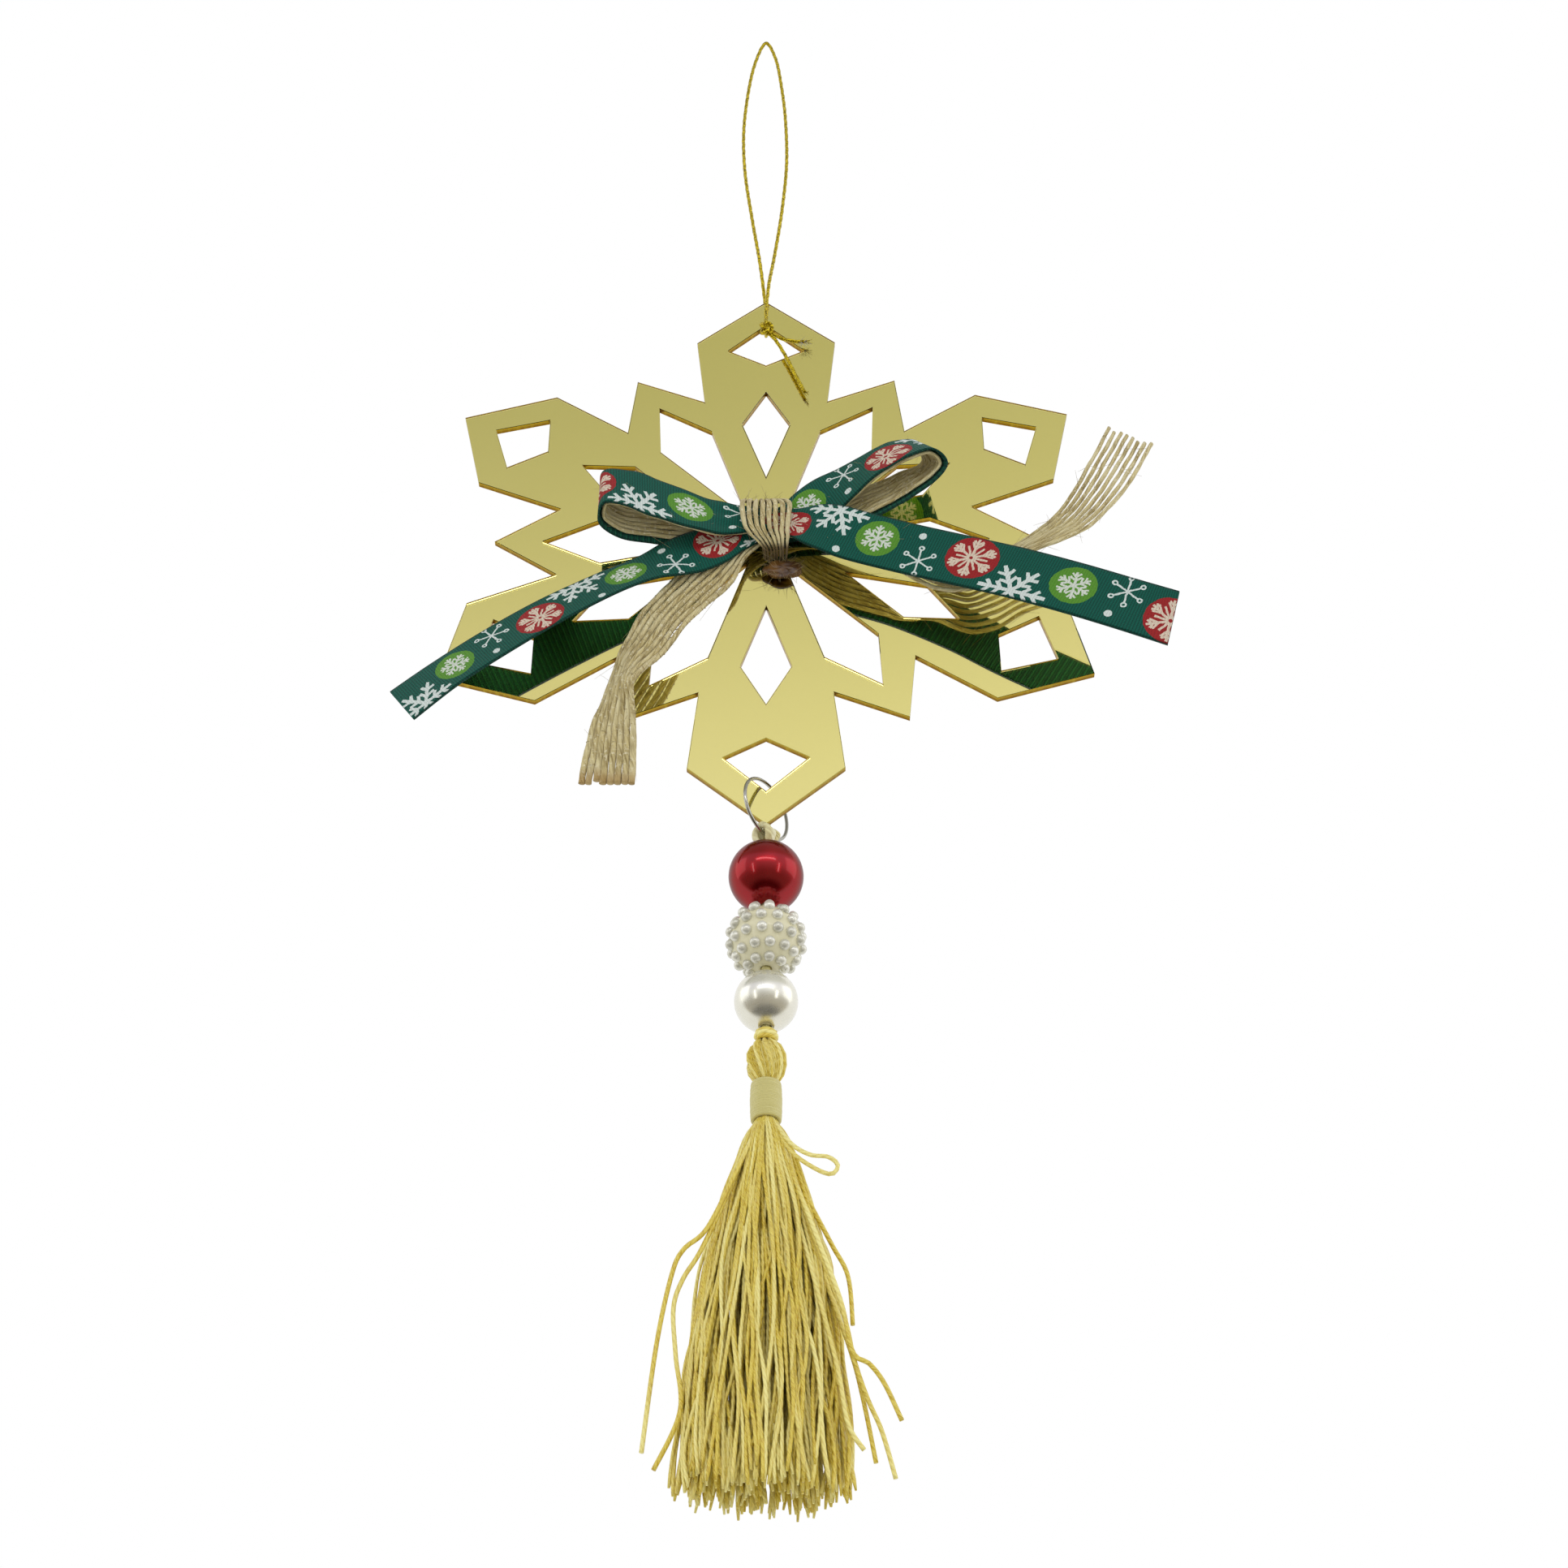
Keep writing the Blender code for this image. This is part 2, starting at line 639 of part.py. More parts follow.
def loop_route():
    """World points of the loop: up from the knot in front, over the nail and down behind."""
    radius = CORD_DIAMETER / 2
    stand = GAP + radius
    x, y, height = knot_centre()
    behind = -(PLATE_THICKNESS + stand)
    knot_top = y + KNOT_LENGTH / 2 + GAP
    half_bend = CORD_BEND * (1.0 - math.sqrt(0.5))
    corner = ARM_TIP - HEAD_TO_TIP
    through = corner - CORD_PASSES_BELOW_CORNER
    points = [
        front_point(x, knot_top, height),
        front_point(x, knot_top + CORD_LANDS_ABOVE_KNOT, stand + CORD_LANDING_LIFT),
        front_point(x, ARM_TIP - FRONT_STRAND_BELOW_TIP, stand),
    ]
    points += [front_point(px * MM, ARM_TIP + py * MM, stand * STRAND_OFF_TIP) for px, py in LOOP_RIGHT[:2]]
    points += [Vector((px * MM, 0.0, PLATE_CENTRE_Z + ARM_TIP + py * MM)) for px, py in LOOP_RIGHT[2:]]
    points.append(Vector((0.0, 0.0, radius)))
    points += [Vector((px * MM, 0.0, PLATE_CENTRE_Z + ARM_TIP + py * MM)) for px, py in LOOP_LEFT[:-1]]
    points += [
        front_point(LOOP_LEFT[-1][0] * MM, ARM_TIP + LOOP_LEFT[-1][1] * MM, behind * STRAND_OFF_TIP),
        front_point(x, ARM_TIP - BACK_STRAND_BELOW_TIP, behind),
        front_point(x, corner + BACK_STRAND_ABOVE_CORNER, behind),
        front_point(x, through + CORD_BEND, behind),
        front_point(x, through + half_bend, behind + half_bend),
        front_point(x, through, behind + CORD_BEND),
        front_point(x, through, height - KNOT_WIDTH / 2 - GAP),
    ]
    return points


def make_hanging_cord(group, material):
    dense = [Vector(row) for row in catmull_rom([list(point) for point in loop_route()], LOOP_STEPS)]
    return add_tube("hanging_cord", even_points(dense, LOOP_POINTS), CORD_DIAMETER, group, material)


def make_knot(group, guides, material):
    """Tight knot, turned like three strands laid round each other, with the two cut tails."""
    mesh = bmesh.new()
    bmesh.ops.create_uvsphere(mesh, u_segments=12, v_segments=8, radius=0.5)
    for vert in mesh.verts:
        turn = math.atan2(vert.co.y, vert.co.x)
        strand = 1.0 + KNOT_RIPPLE * math.cos(3 * turn + KNOT_TWIST * vert.co.z)
        vert.co.x *= strand * KNOT_WIDTH
        vert.co.y *= strand * KNOT_WIDTH
        vert.co.z *= KNOT_LENGTH
    data = bpy.data.meshes.new("hanging_cord_knot")
    mesh.to_mesh(data)
    mesh.free()
    item = add_object("hanging_cord_knot", data, group, material)
    x, y, height = knot_centre()
    item.location = front_point(x, y, height)
    for number, tail in enumerate(KNOT_TAILS):
        rows = [(x + px * MM, y + py * MM, height + ph * MM) for px, py, ph in tail]
        points = [front_point(*row) for row in catmull_rom(rows, 2)]
        tube = add_tube("knot tail %d" % number, points, CORD_DIAMETER, guides, fineness=1)
        add_union(item, curve_to_mesh(tube, guides))
    return item


def ring_seat():
    """How far the ring's inner top stands over the window's corner, across which its wire leans."""
    window_slope = (ARM_TIP - HEAD_TO_TIP - HEAD_WIDE_AT) / HEAD_OUT
    radius = RING_INNER_RADIUS + RING_WIRE / 2
    chord = (PLATE_THICKNESS / 2 + RING_WIRE / 2 + GAP) / math.cos(RING_TURN)
    sag = radius - math.sqrt(radius ** 2 - chord ** 2)
    return window_slope * (chord * math.sin(RING_TURN) + RING_WIRE / 2) + sag + GAP


RING_CENTRE = -(ARM_TIP - HEAD_TO_TIP) + ring_seat() - RING_INNER_RADIUS
RING_BOTTOM = RING_CENTRE - RING_INNER_RADIUS


def ring_direction():
    """Level direction in the ring's own plane."""
    return Vector((math.sin(RING_TURN), math.cos(RING_TURN), 0.0))


def make_ring(group, material):
    radius = RING_INNER_RADIUS + RING_WIRE / 2
    centre = Vector((0.0, 0.0, PLATE_CENTRE_Z + RING_CENTRE))
    sideways = ring_direction()
    points = []
    for index in range(RING_POINTS):
        round_share = index / (RING_POINTS - 1)
        angle = RING_OPENING + RING_SPLIT / 2 + (2 * math.pi - RING_SPLIT) * round_share
        level = sideways * (radius * math.cos(angle))
        points.append(centre + level + Vector((0.0, 0.0, radius * math.sin(angle))))
    return add_tube("wire_ring", points, RING_WIRE, group, material, fineness=1)


RED_TOP = RING_BOTTOM - RING_WIRE - STRING_RISE
RED_CENTRE = RED_TOP - RED_BEAD_DIAMETER / 2
BERRY_RADIUS = BERRY_BODY_DIAMETER / 2 + BERRY_KNOB_DIAMETER * BERRY_KNOB_SHOWS
BERRY_CENTRE = RED_CENTRE - RED_BEAD_DIAMETER / 2 - BEAD_SPACING - BERRY_RADIUS
PEARL_CENTRE = BERRY_CENTRE - BERRY_RADIUS - BEAD_SPACING - PEARL_DIAMETER / 2
NECK_TOP = PEARL_CENTRE - PEARL_DIAMETER / 2 - BEAD_SPACING
THREADS_TOP = NECK_TOP - NECK_WRAP_HEIGHT * (1.0 - THREADS_INTO_WRAP)
HEAD_TOP = NECK_TOP - NECK_WRAP_HEIGHT
COLLAR_TOP = HEAD_TOP - HEAD_HEIGHT
SKIRT_TOP = COLLAR_TOP - COLLAR_HEIGHT


def make_bead(name, diameter, centre, group, material, steps=18, rows=8):
    """Round bead with a bore for the string."""
    radius = diameter / 2
    bore = STRING_DIAMETER / 2 + GAP
    rim = math.asin(bore / radius)
    outline = []
    for index in range(rows + 1):
        angle = rim + (math.pi - 2 * rim) * index / rows
        outline.append((radius * math.sin(angle), radius * math.cos(angle)))
    item = turned(name, outline, group, material, steps)
    item.location = (0.0, 0.0, PLATE_CENTRE_Z + centre)
    return item


def knob_places():
    """Rows of knobs on the berry bead, staggered from row to row: angle from the top and round."""
    radius = BERRY_BODY_DIAMETER / 2
    spacing = BERRY_KNOB_DIAMETER * BERRY_KNOB_SPACING
    places = []
    for row in range(BERRY_ROWS):
        down = BERRY_FIRST_ROW + (math.pi - 2 * BERRY_FIRST_ROW) * row / (BERRY_ROWS - 1)
        count = round(2 * math.pi * radius * math.sin(down) / spacing)
        for index in range(count):
            places.append((down, 2 * math.pi * (index + 0.5 * (row % 2)) / count))
    return places


def make_berry_bead(group, guides, material):
    item = make_bead("berry_bead", BERRY_BODY_DIAMETER, BERRY_CENTRE, group, material)
    mesh = bmesh.new()
    radius = BERRY_BODY_DIAMETER / 2
    for down, turn in knob_places():
        outwards = Vector((
            math.sin(down) * math.cos(turn), math.sin(down) * math.sin(turn), math.cos(down),
        ))
        knob = bmesh.ops.create_cone(
            mesh, cap_ends=True, segments=4, radius1=BERRY_KNOB_DIAMETER * BERRY_KNOB_BASE,
            radius2=BERRY_KNOB_DIAMETER * BERRY_KNOB_TOP, depth=BERRY_KNOB_DIAMETER * BERRY_KNOB_HEIGHT,
        )
        aim = outwards.to_track_quat("Z", "Y").to_matrix().to_4x4()
        bmesh.ops.transform(mesh, verts=knob["verts"], matrix=aim)
        bmesh.ops.translate(mesh, verts=knob["verts"], vec=outwards * radius)
    data = bpy.data.meshes.new("berry knobs")
    mesh.to_mesh(data)
    mesh.free()
    knobs = add_object("berry knobs", data, guides)
    knobs.location = item.location
    add_union(item, knobs)
    return item


def make_string(group, guides, material):
    """Satin cord through the beads, looped over the ring in three small bights."""
    low = THREADS_TOP + GAP
    high = RED_TOP + STRING_ABOVE_BEAD
    mesh = bmesh.new()
    bmesh.ops.create_cone(mesh, cap_ends=True, segments=10, radius1=STRING_DIAMETER / 2,
                          radius2=STRING_DIAMETER / 2, depth=high - low)
    data = bpy.data.meshes.new("bead_string")
    mesh.to_mesh(data)
    mesh.free()
    item = add_object("bead_string", data, group, material)
    item.location = (0.0, 0.0, PLATE_CENTRE_Z + (high + low) / 2)
    through = Vector((math.cos(RING_TURN), -math.sin(RING_TURN), 0.0))
    beside = ring_direction()
    crown = RING_BOTTOM + GAP + STRAND_DIAMETER / 2
    half_span = RING_WIRE / 2 + GAP + STRAND_DIAMETER / 2
    for number, slide in enumerate((-BIGHT_SPACING, 0.0, BIGHT_SPACING)):
        shape = [
            (-0.35, RED_TOP + BIGHT_FOOT, 0.15),
            (-1.0, RED_TOP + BIGHT_SHOULDER, 0.7),
            (-1.0, RING_BOTTOM, 1.0),
            (0.0, crown, 1.0),
            (1.0, RING_BOTTOM, 1.0),
            (1.0, RED_TOP + BIGHT_SHOULDER, 0.7),
            (0.35, RED_TOP + BIGHT_FOOT, 0.15),
        ]
        rows = []
        for side, height, spread in shape:
            slid = slide * spread
            rise = slid ** 2 / (2 * RING_INNER_RADIUS) if height >= RING_BOTTOM else 0.0
            place = through * (side * half_span) + beside * slid
            rows.append((place.x, place.y, PLATE_CENTRE_Z + height + rise))
        points = [Vector(row) for row in catmull_rom(rows, 2)]
        tube = add_tube("string bight %d" % number, points, STRAND_DIAMETER, guides, fineness=1)
        add_union(item, curve_to_mesh(tube, guides))
    return item


def make_neck_wrap(group, material):
    inner = THREAD_WRAPPED_RADIUS + GAP
    outline = []
    for index in range(7):
        angle = math.pi / 2 - math.pi * index / 6
        outline.append((
            inner + (NECK_WRAP_RADIUS - inner) * max(math.cos(angle), NECK_WRAP_THINNEST),
            NECK_WRAP_HEIGHT / 2 * math.sin(angle),
        ))
    bore_half = NECK_WRAP_HEIGHT * NECK_WRAP_BORE_EDGE
    outline += [(inner, -bore_half), (inner, bore_half)]
    item = turned("tassel_neck_wrap", outline, group, material, 12)
    item.location = (0.0, 0.0, PLATE_CENTRE_Z + NECK_TOP - NECK_WRAP_HEIGHT / 2)
    return item


def make_collar(group, material):
    """Thread wound round the tassel's neck, with a ridge for each few turns."""
    inner = THREAD_NECK_RADIUS + GAP
    outline = []
    for index in range(2 * COLLAR_RIDGES + 1):
        bulge = COLLAR_RIDGE_OUT if index % 2 else -COLLAR_GROOVE_IN
        outline.append((COLLAR_RADIUS + bulge, -COLLAR_HEIGHT * index / (2 * COLLAR_RIDGES)))
    outline += [(inner, -COLLAR_HEIGHT), (inner, 0.0)]
    item = turned("tassel_collar", outline, group, material, 14)
    item.location = (0.0, 0.0, PLATE_CENTRE_Z + COLLAR_TOP)
    return item


def tassel_rings():
    """Rings of the thread bundle from its top: height, half width, half depth and flute depth."""
    rings = [
        (THREADS_TOP, THREAD_START_RADIUS, THREAD_START_RADIUS, 0.0),
        (HEAD_TOP, THREAD_WRAPPED_RADIUS, THREAD_WRAPPED_RADIUS, 0.0),
    ]
    for share, size in HEAD_OUTLINE:
        rings.append((HEAD_TOP - HEAD_HEIGHT * share, HEAD_RADIUS * size, HEAD_RADIUS * size, HEAD_FLUTE))
    rings += [
        (COLLAR_TOP, THREAD_NECK_RADIUS, THREAD_NECK_RADIUS, 0.0),
        (SKIRT_TOP, THREAD_NECK_RADIUS, THREAD_NECK_RADIUS, 0.0),
    ]
    for share, wide, deep in SKIRT_OUTLINE:
        rings.append((SKIRT_TOP - SKIRT_LENGTH * share, SKIRT_HALF_WIDTH * wide, SKIRT_HALF_DEPTH * deep,
                      SKIRT_FLUTE + SKIRT_FLUTE_GROWTH * share))
    return rings


def make_threads(group, material):
    """Bundle of tassel threads: head, neck and skirt in one, fluted into locks, uneven below."""
    sides = 2 * TASSEL_LOCKS
    mesh = bmesh.new()
    rings = tassel_rings()
    lines = []
    for number, (height, wide, deep, flute) in enumerate(rings):
        end_waves = SKIRT_END_WAVES if number == len(rings) - 1 else ()
        line = []
        for index in range(sides):
            angle = 2 * math.pi * index / sides
            size = 1.0 + (flute if index % 2 else -flute)
            drop = sum(size * math.cos(count * angle + start) for size, count, start in end_waves)
            line.append(mesh.verts.new((
                wide * size * math.cos(angle), deep * size * math.sin(angle), PLATE_CENTRE_Z + height + drop,
            )))
        lines.append(line)
    for upper, lower in zip(lines, lines[1:]):
        for index in range(sides):
            after = (index + 1) % sides
            mesh.faces.new((upper[index], lower[index], lower[after], upper[after]))
    for line, facing_up in ((lines[0], True), (lines[-1], False)):
        middle = sum((vert.co for vert in line), Vector()) / sides
        if not facing_up:
            middle.z += SKIRT_HOLLOW
        centre = mesh.verts.new(middle)
        for index in range(sides):
            after = (index + 1) % sides
            pair = (line[index], line[after]) if facing_up else (line[after], line[index])
            mesh.faces.new((*pair, centre))
    data = bpy.data.meshes.new("tassel_threads")
    mesh.to_mesh(data)
    mesh.free()
    data.shade_smooth()
    return add_object("tassel_threads", data, group, material)


def main():
    clear_scene()
    group = new_collection("acrylic_snowflake_ornament")
    guides = new_collection("guides")

    gold_plate = make_material("mirror gold acrylic", (0.83, 0.70, 0.27), 0.06, 1.0)
    green_ribbon = make_material("green printed grosgrain", (0.01, 0.13, 0.09), 0.75)
    jute = make_material("jute", (0.46, 0.35, 0.19), 0.9)
    gold_cord = make_material("gold metallic cord", (0.62, 0.52, 0.14), 0.35, 0.8)
    steel = make_material("silver wire", (0.62, 0.62, 0.58), 0.25, 1.0)
    satin = make_material("cream satin cord", (0.80, 0.68, 0.36), 0.45)
    red_pearl = make_material("red pearl", (0.45, 0.01, 0.02), 0.18, 0.3)
    ivory_pearl = make_material("ivory berry pearl", (0.82, 0.79, 0.66), 0.25, 0.1)
    white_pearl = make_material("white pearl", (0.84, 0.82, 0.74), 0.16, 0.1)
    gold_thread = make_material("gold rayon thread", (0.74, 0.58, 0.24), 0.45)
    glue = make_material("brown glue", (0.28, 0.14, 0.03), 0.3)

    make_plate(group, gold_plate)
    make_ribbon(group, green_ribbon)
    make_jute(group, guides, jute)
    make_tie(group, jute)
    make_glue(group, glue)
    make_hanging_cord(group, gold_cord)
    make_knot(group, guides, gold_cord)
    make_ring(group, steel)
    make_string(group, guides, satin)
    make_bead("red_bead", RED_BEAD_DIAMETER, RED_CENTRE, group, red_pearl)
    make_berry_bead(group, guides, ivory_pearl)
    make_bead("white_pearl_bead", PEARL_DIAMETER, PEARL_CENTRE, group, white_pearl)
    make_neck_wrap(group, gold_thread)
    make_threads(group, gold_thread)
    make_collar(group, gold_thread)


main()
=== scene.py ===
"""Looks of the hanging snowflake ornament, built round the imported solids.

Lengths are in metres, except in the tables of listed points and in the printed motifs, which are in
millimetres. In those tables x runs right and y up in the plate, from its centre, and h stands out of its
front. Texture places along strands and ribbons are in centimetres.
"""
import math
import random
from functools import partialmethod

import bpy
import numpy as np
from mathutils import Matrix, Vector, geometry


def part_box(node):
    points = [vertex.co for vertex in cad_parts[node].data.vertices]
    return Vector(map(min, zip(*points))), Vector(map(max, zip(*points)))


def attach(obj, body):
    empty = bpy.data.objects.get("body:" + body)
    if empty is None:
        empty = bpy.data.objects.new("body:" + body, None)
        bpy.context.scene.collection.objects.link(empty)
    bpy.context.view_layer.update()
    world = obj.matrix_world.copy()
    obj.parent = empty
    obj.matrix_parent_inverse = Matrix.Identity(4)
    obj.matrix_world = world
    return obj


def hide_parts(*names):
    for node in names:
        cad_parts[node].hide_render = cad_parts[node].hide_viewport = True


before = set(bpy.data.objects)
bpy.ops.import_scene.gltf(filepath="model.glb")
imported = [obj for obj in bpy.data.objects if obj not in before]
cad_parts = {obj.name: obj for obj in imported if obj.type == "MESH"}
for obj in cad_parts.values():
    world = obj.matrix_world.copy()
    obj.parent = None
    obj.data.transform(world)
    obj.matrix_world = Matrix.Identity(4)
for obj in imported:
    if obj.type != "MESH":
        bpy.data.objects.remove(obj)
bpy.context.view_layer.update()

MM = 0.001
GAP = 0.0003
TO_TEXTURE = 100.0
TURN = 2 * math.pi
dice = random.Random(41)

plate_low, plate_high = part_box("snowflake_plate")
PLATE_THICKNESS = plate_high.y - plate_low.y
PLATE_CENTRE_Z = (plate_high.z + plate_low.z) / 2
ARM_TIP = (plate_high.z - plate_low.z) / 2

# Plate, in the same sizes as its solid
ARM_COUNT = 6
ARM_SHOULDER_ALONG = 0.0490
ARM_SHOULDER_OUT = 0.0122
ARM_ROOT_ALONG = 0.0336
ARM_ROOT_OUT = 0.01065
SPUR_TIP = 0.0449
ARM_KITE_NEAR = 0.0150
ARM_KITE_WIDE_AT = 0.0280
ARM_KITE_OUT = 0.0041
ARM_KITE_FAR = 0.0360
HEAD_NEAR = 0.0430
HEAD_WIDE_AT = 0.0469
HEAD_OUT = 0.0067
HEAD_TO_TIP = 0.0064
SPUR_KITE_NEAR = 0.0059
SPUR_KITE_WIDE_AT = 0.0273
SPUR_KITE_OUT = 0.0050
SPUR_KITE_TO_TIP = 0.0080
CLEAR_DEPTH = 0.0004
EDGE_CHAMFER = 0.00007
PAINT_GAP = 0.00001

# Bow
RIBBON_WIDTH = 0.0104
RIBBON_THICKNESS = 0.00035
RIBBON_COLUMNS = 20
JUTE_WIDTH = 0.0090
JUTE_THICKNESS = 0.0006
YARN_COUNT = 8
YARN_PITCH = 0.0080
YARN_HALF_WIDE = 0.00045
YARN_HALF_THICK = 0.00031
WEFT_RADIUS = 0.00007
WEFT_WEAVE = 0.00040
FIBRE_RADIUS = 0.00003
YARN_FIBRES = 70
TIE_FIBRES = 16
GLUE_FIBRES = 90
TIE_THICKNESS = 0.0006
TIE_WIDTH = 0.0087
PLEAT_DEPTH = 0.0005
FULL_GATHER = 0.42
LINING_DROP = RIBBON_THICKNESS / 2 + GAP + JUTE_THICKNESS / 2
LOW_LAYER = GAP + RIBBON_THICKNESS / 2
MIDDLE_LINING = LOW_LAYER + LINING_DROP + JUTE_THICKNESS + GAP
MIDDLE_LAYER = MIDDLE_LINING + LINING_DROP
TOP_LAYER = MIDDLE_LAYER + RIBBON_THICKNESS / 2 + GAP + JUTE_THICKNESS / 2 + LINING_DROP
TIE_HEIGHT = TOP_LAYER + RIBBON_THICKNESS / 2 + GAP + TIE_THICKNESS / 2

# Printed ribbon, from the left tail's end to the right tail's end. Each row is x, y, the rise above
# the row's layer, the direction of the width in the plate, its slope out of the plate in degrees
# (minus: the upper edge lies nearer the plate), and the share of the full width.
LEFT_TAIL = [
    (-56.6, -38.0, -0.6, 119, -20, 1.0),
    (-50.2, -31.8, -0.1, 120, -23, 1.0),
    (-43.1, -25.8, 0.3, 117, -23, 1.0),
    (-34.8, -19.4, 0.6, 115, -24, 1.0),
    (-26.0, -13.4, 0.6, 110, -26, 1.0),
    (-19.7, -9.9, 0.6, 108, -25, 1.0),
    (-15.6, -7.9, 0.7, 106, -15, 1.0),
    (-12.0, -6.4, 0.6, 106, -7, 0.97),
    (-8.0, -4.3, 0.3, 109, -3, 0.84),
    (-4.6, -2.2, 0.0, 112, 0, 0.60),
]
RIGHT_LOOP_OVER = [
    (0.0, 0.3, 0.0, 112, 0, 0.50),
    (3.6, 2.0, 0.0, 114, 0, 0.56),
    (6.6, 3.9, 0.3, 114, -1, 0.78),
    (9.8, 6.0, 1.0, 111, -8, 0.94),
    (13.2, 8.0, 2.3, 109, -20, 1.0),
    (16.4, 9.7, 3.8, 106, -26, 1.0),
    (19.8, 11.4, 5.0, 106, -28, 1.0),
    (22.6, 12.8, 5.4, 106, -30, 1.0),
    (26.4, 14.1, 4.9, 106, -35, 1.0),
]
RIGHT_LOOP_UNDER = [
    (28.4, 13.1, 4.9, 112, -38, 1.0),
    (27.0, 11.0, 3.7, 107, -34, 1.0),
    (23.4, 9.3, 2.7, 100, -24, 1.0),
    (20.9, 7.9, 2.2, 99, -23, 1.0),
    (17.4, 6.2, 1.9, 101, -18, 1.0),
    (13.0, 4.7, 1.0, 104, -9, 0.96),
    (8.6, 3.4, 0.4, 108, -3, 0.84),
    (4.2, 2.0, 0.0, 104, 0, 0.56),
    (0.0, 1.0, 0.0, 90, 0, 0.52),
]
LEFT_LOOP_UNDER = [
    (-4.0, 1.4, 0.0, 82, 0, 0.56),
    (-8.6, 2.2, 0.1, 87, 0, 0.90),
    (-13.4, 2.4, 0.4, 92, -3, 1.0),
    (-19.0, 2.5, 0.9, 92, -8, 1.0),
    (-24.0, 3.0, 1.4, 91, -11, 1.0),
    (-27.2, 4.1, 3.5, 90, -13, 1.0),
]
LEFT_LOOP_OVER = [
    (-26.6, 5.6, 2.4, 93, -14, 1.0),
    (-22.4, 4.8, 2.7, 93, -13, 1.0),
    (-18.0, 2.7, 2.6, 92, -12, 1.0),
    (-13.7, 1.3, 1.9, 91, -12, 1.0),
    (-9.8, 0.4, 1.0, 90, -14, 0.96),
    (-7.2, 0.2, 0.4, 88, -7, 0.82),
    (-4.4, 0.2, 0.0, 86, 0, 0.60),
    (0.0, 0.4, 0.0, 82, 0, 0.50),
]
RIGHT_TAIL = [
    (4.4, -0.5, 0.0, 76, 0, 0.60),
    (7.5, -2.0, 1.2, 68, 2, 0.86),
    (10.7, -3.7, 1.9, 66, 4, 0.97),
    (14.6, -5.6, 2.0, 66, 5, 1.0),
    (22.6, -8.7, 2.2, 67, 5, 1.0),
    (31.9, -12.9, 3.4, 65, 5, 1.0),
    (39.8, -17.0, 4.9, 63, 5, 1.0),
    (48.3, -21.4, 6.0, 63, 5, 1.0),
    (56.4, -25.7, 6.8, 64, 5, 1.0),
    (63.1, -29.6, 7.7, 75, 5, 1.0),
]
RIBBON_ROUTE = (
    [(MIDDLE_LAYER, row) for row in LEFT_TAIL + RIGHT_LOOP_OVER]
    + [(LOW_LAYER, row) for row in RIGHT_LOOP_UNDER + LEFT_LOOP_UNDER]
    + [(TOP_LAYER, row) for row in LEFT_LOOP_OVER + RIGHT_TAIL]
)
LINING_START = len(LEFT_TAIL)
LINING_END = len(RIBBON_ROUTE) - len(RIGHT_TAIL) + 4
JUTE_LEFT_TAIL = [
    (-24.2, -54.4, 0.1, 173, -8, 1.0),
    (-23.9, -49.5, 0.6, 165, -17, 1.0),
    (-23.5, -43.4, 1.3, 155, -29, 1.0),
    (-22.9, -38.5, 1.9, 137, -40, 1.0),
    (-22.3, -34.6, 2.3, 117, -39, 1.0),
    (-21.2, -30.8, 2.2, 110, -28, 1.0),
    (-19.0, -26.5, 1.6, 119, -17, 1.0),
    (-16.2, -20.4, 1.0, 131, -8, 0.95),
    (-12.7, -15.2, 0.7, 137, -2, 0.94),
    (-8.6, -9.6, 0.4, 138, 0, 0.96),
    (-4.6, -4.0, 0.05, 130, 0, 0.58),
]
JUTE_RIGHT_TAIL = [
    (28.6, -10.8, -1.0, 68, 0, 1.0),
    (32.8, -12.0, -0.7, 74, -10, 1.0),
    (37.0, -10.4, -0.5, 84, -24, 1.0),
    (41.6, -6.9, 0.0, 95, -35, 1.0),
    (46.4, -4.2, 0.6, 113, -30, 1.0),
    (50.0, -1.6, 1.1, 123, -23, 1.0),
    (53.4, 2.7, 1.5, 129, -16, 1.0),
    (57.4, 9.6, 1.9, 136, -6, 1.0),
    (61.3, 17.8, 1.9, 144, -3, 1.0),
]
YARN_TIP_LENGTHS = (0.0, 0.7, -0.5, 0.5, -0.3, 0.8, 0.2, -0.6)
ROUTE_STEPS = 24
TAIL_STEPS = 14

# Tie over the bow, from its foot above the bow to its foot below: x, y, rise, share of the width
TIE_ROUTE = [
    (-0.6, 5.5, None, 0.40),
    (-0.6, 5.6, -3.6, 0.42),
    (-0.7, 5.6, -2.4, 0.48),
    (-0.3, 5.0, -1.1, 0.78),
    (0.0, 3.4, -0.1, 1.0),
    (0.0, 0.8, 0.0, 1.0),
    (0.1, -2.0, 0.05, 0.92),
    (0.4, -3.4, -0.05, 0.76),
    (1.0, -4.4, -0.8, 0.60),
    (1.5, -4.9, -2.2, 0.48),
    (1.6, -5.0, -3.5, 0.45),
    (1.6, -4.8, None, 0.44),
]

# Places of the printed motifs, in millimetres along the ribbon, and the motif's number. The count jumps
# under the tie, where nothing shows. Each fourth motif is of the same kind. The pitches of the cross ribs
# and of the warp threads are in millimetres too.
PRINT_PLACES = [
    (-5.2, 0.0), (3.2, 1.0), (18.8, 3.0), (35.2, 5.0), (51.6, 7.0), (68.4, 9.0), (85.0, 11.0), (92.2, 12.0),
    (138.9, 17.05), (139.3, 21.05), (164.7, 24.0), (173.0, 25.0), (182.4, 26.0), (198.9, 28.0), (214.6, 30.0),
    (230.6, 32.0), (248.6, 34.0), (265.2, 36.0), (273.6, 37.0),
]
MOTIF_PITCH = 8.4
KINDS = 4
RED_HOLE = 0.34
DOT_RADIUS = 0.68
RIB_PITCH = 0.46
WARP_PITCH = 0.32

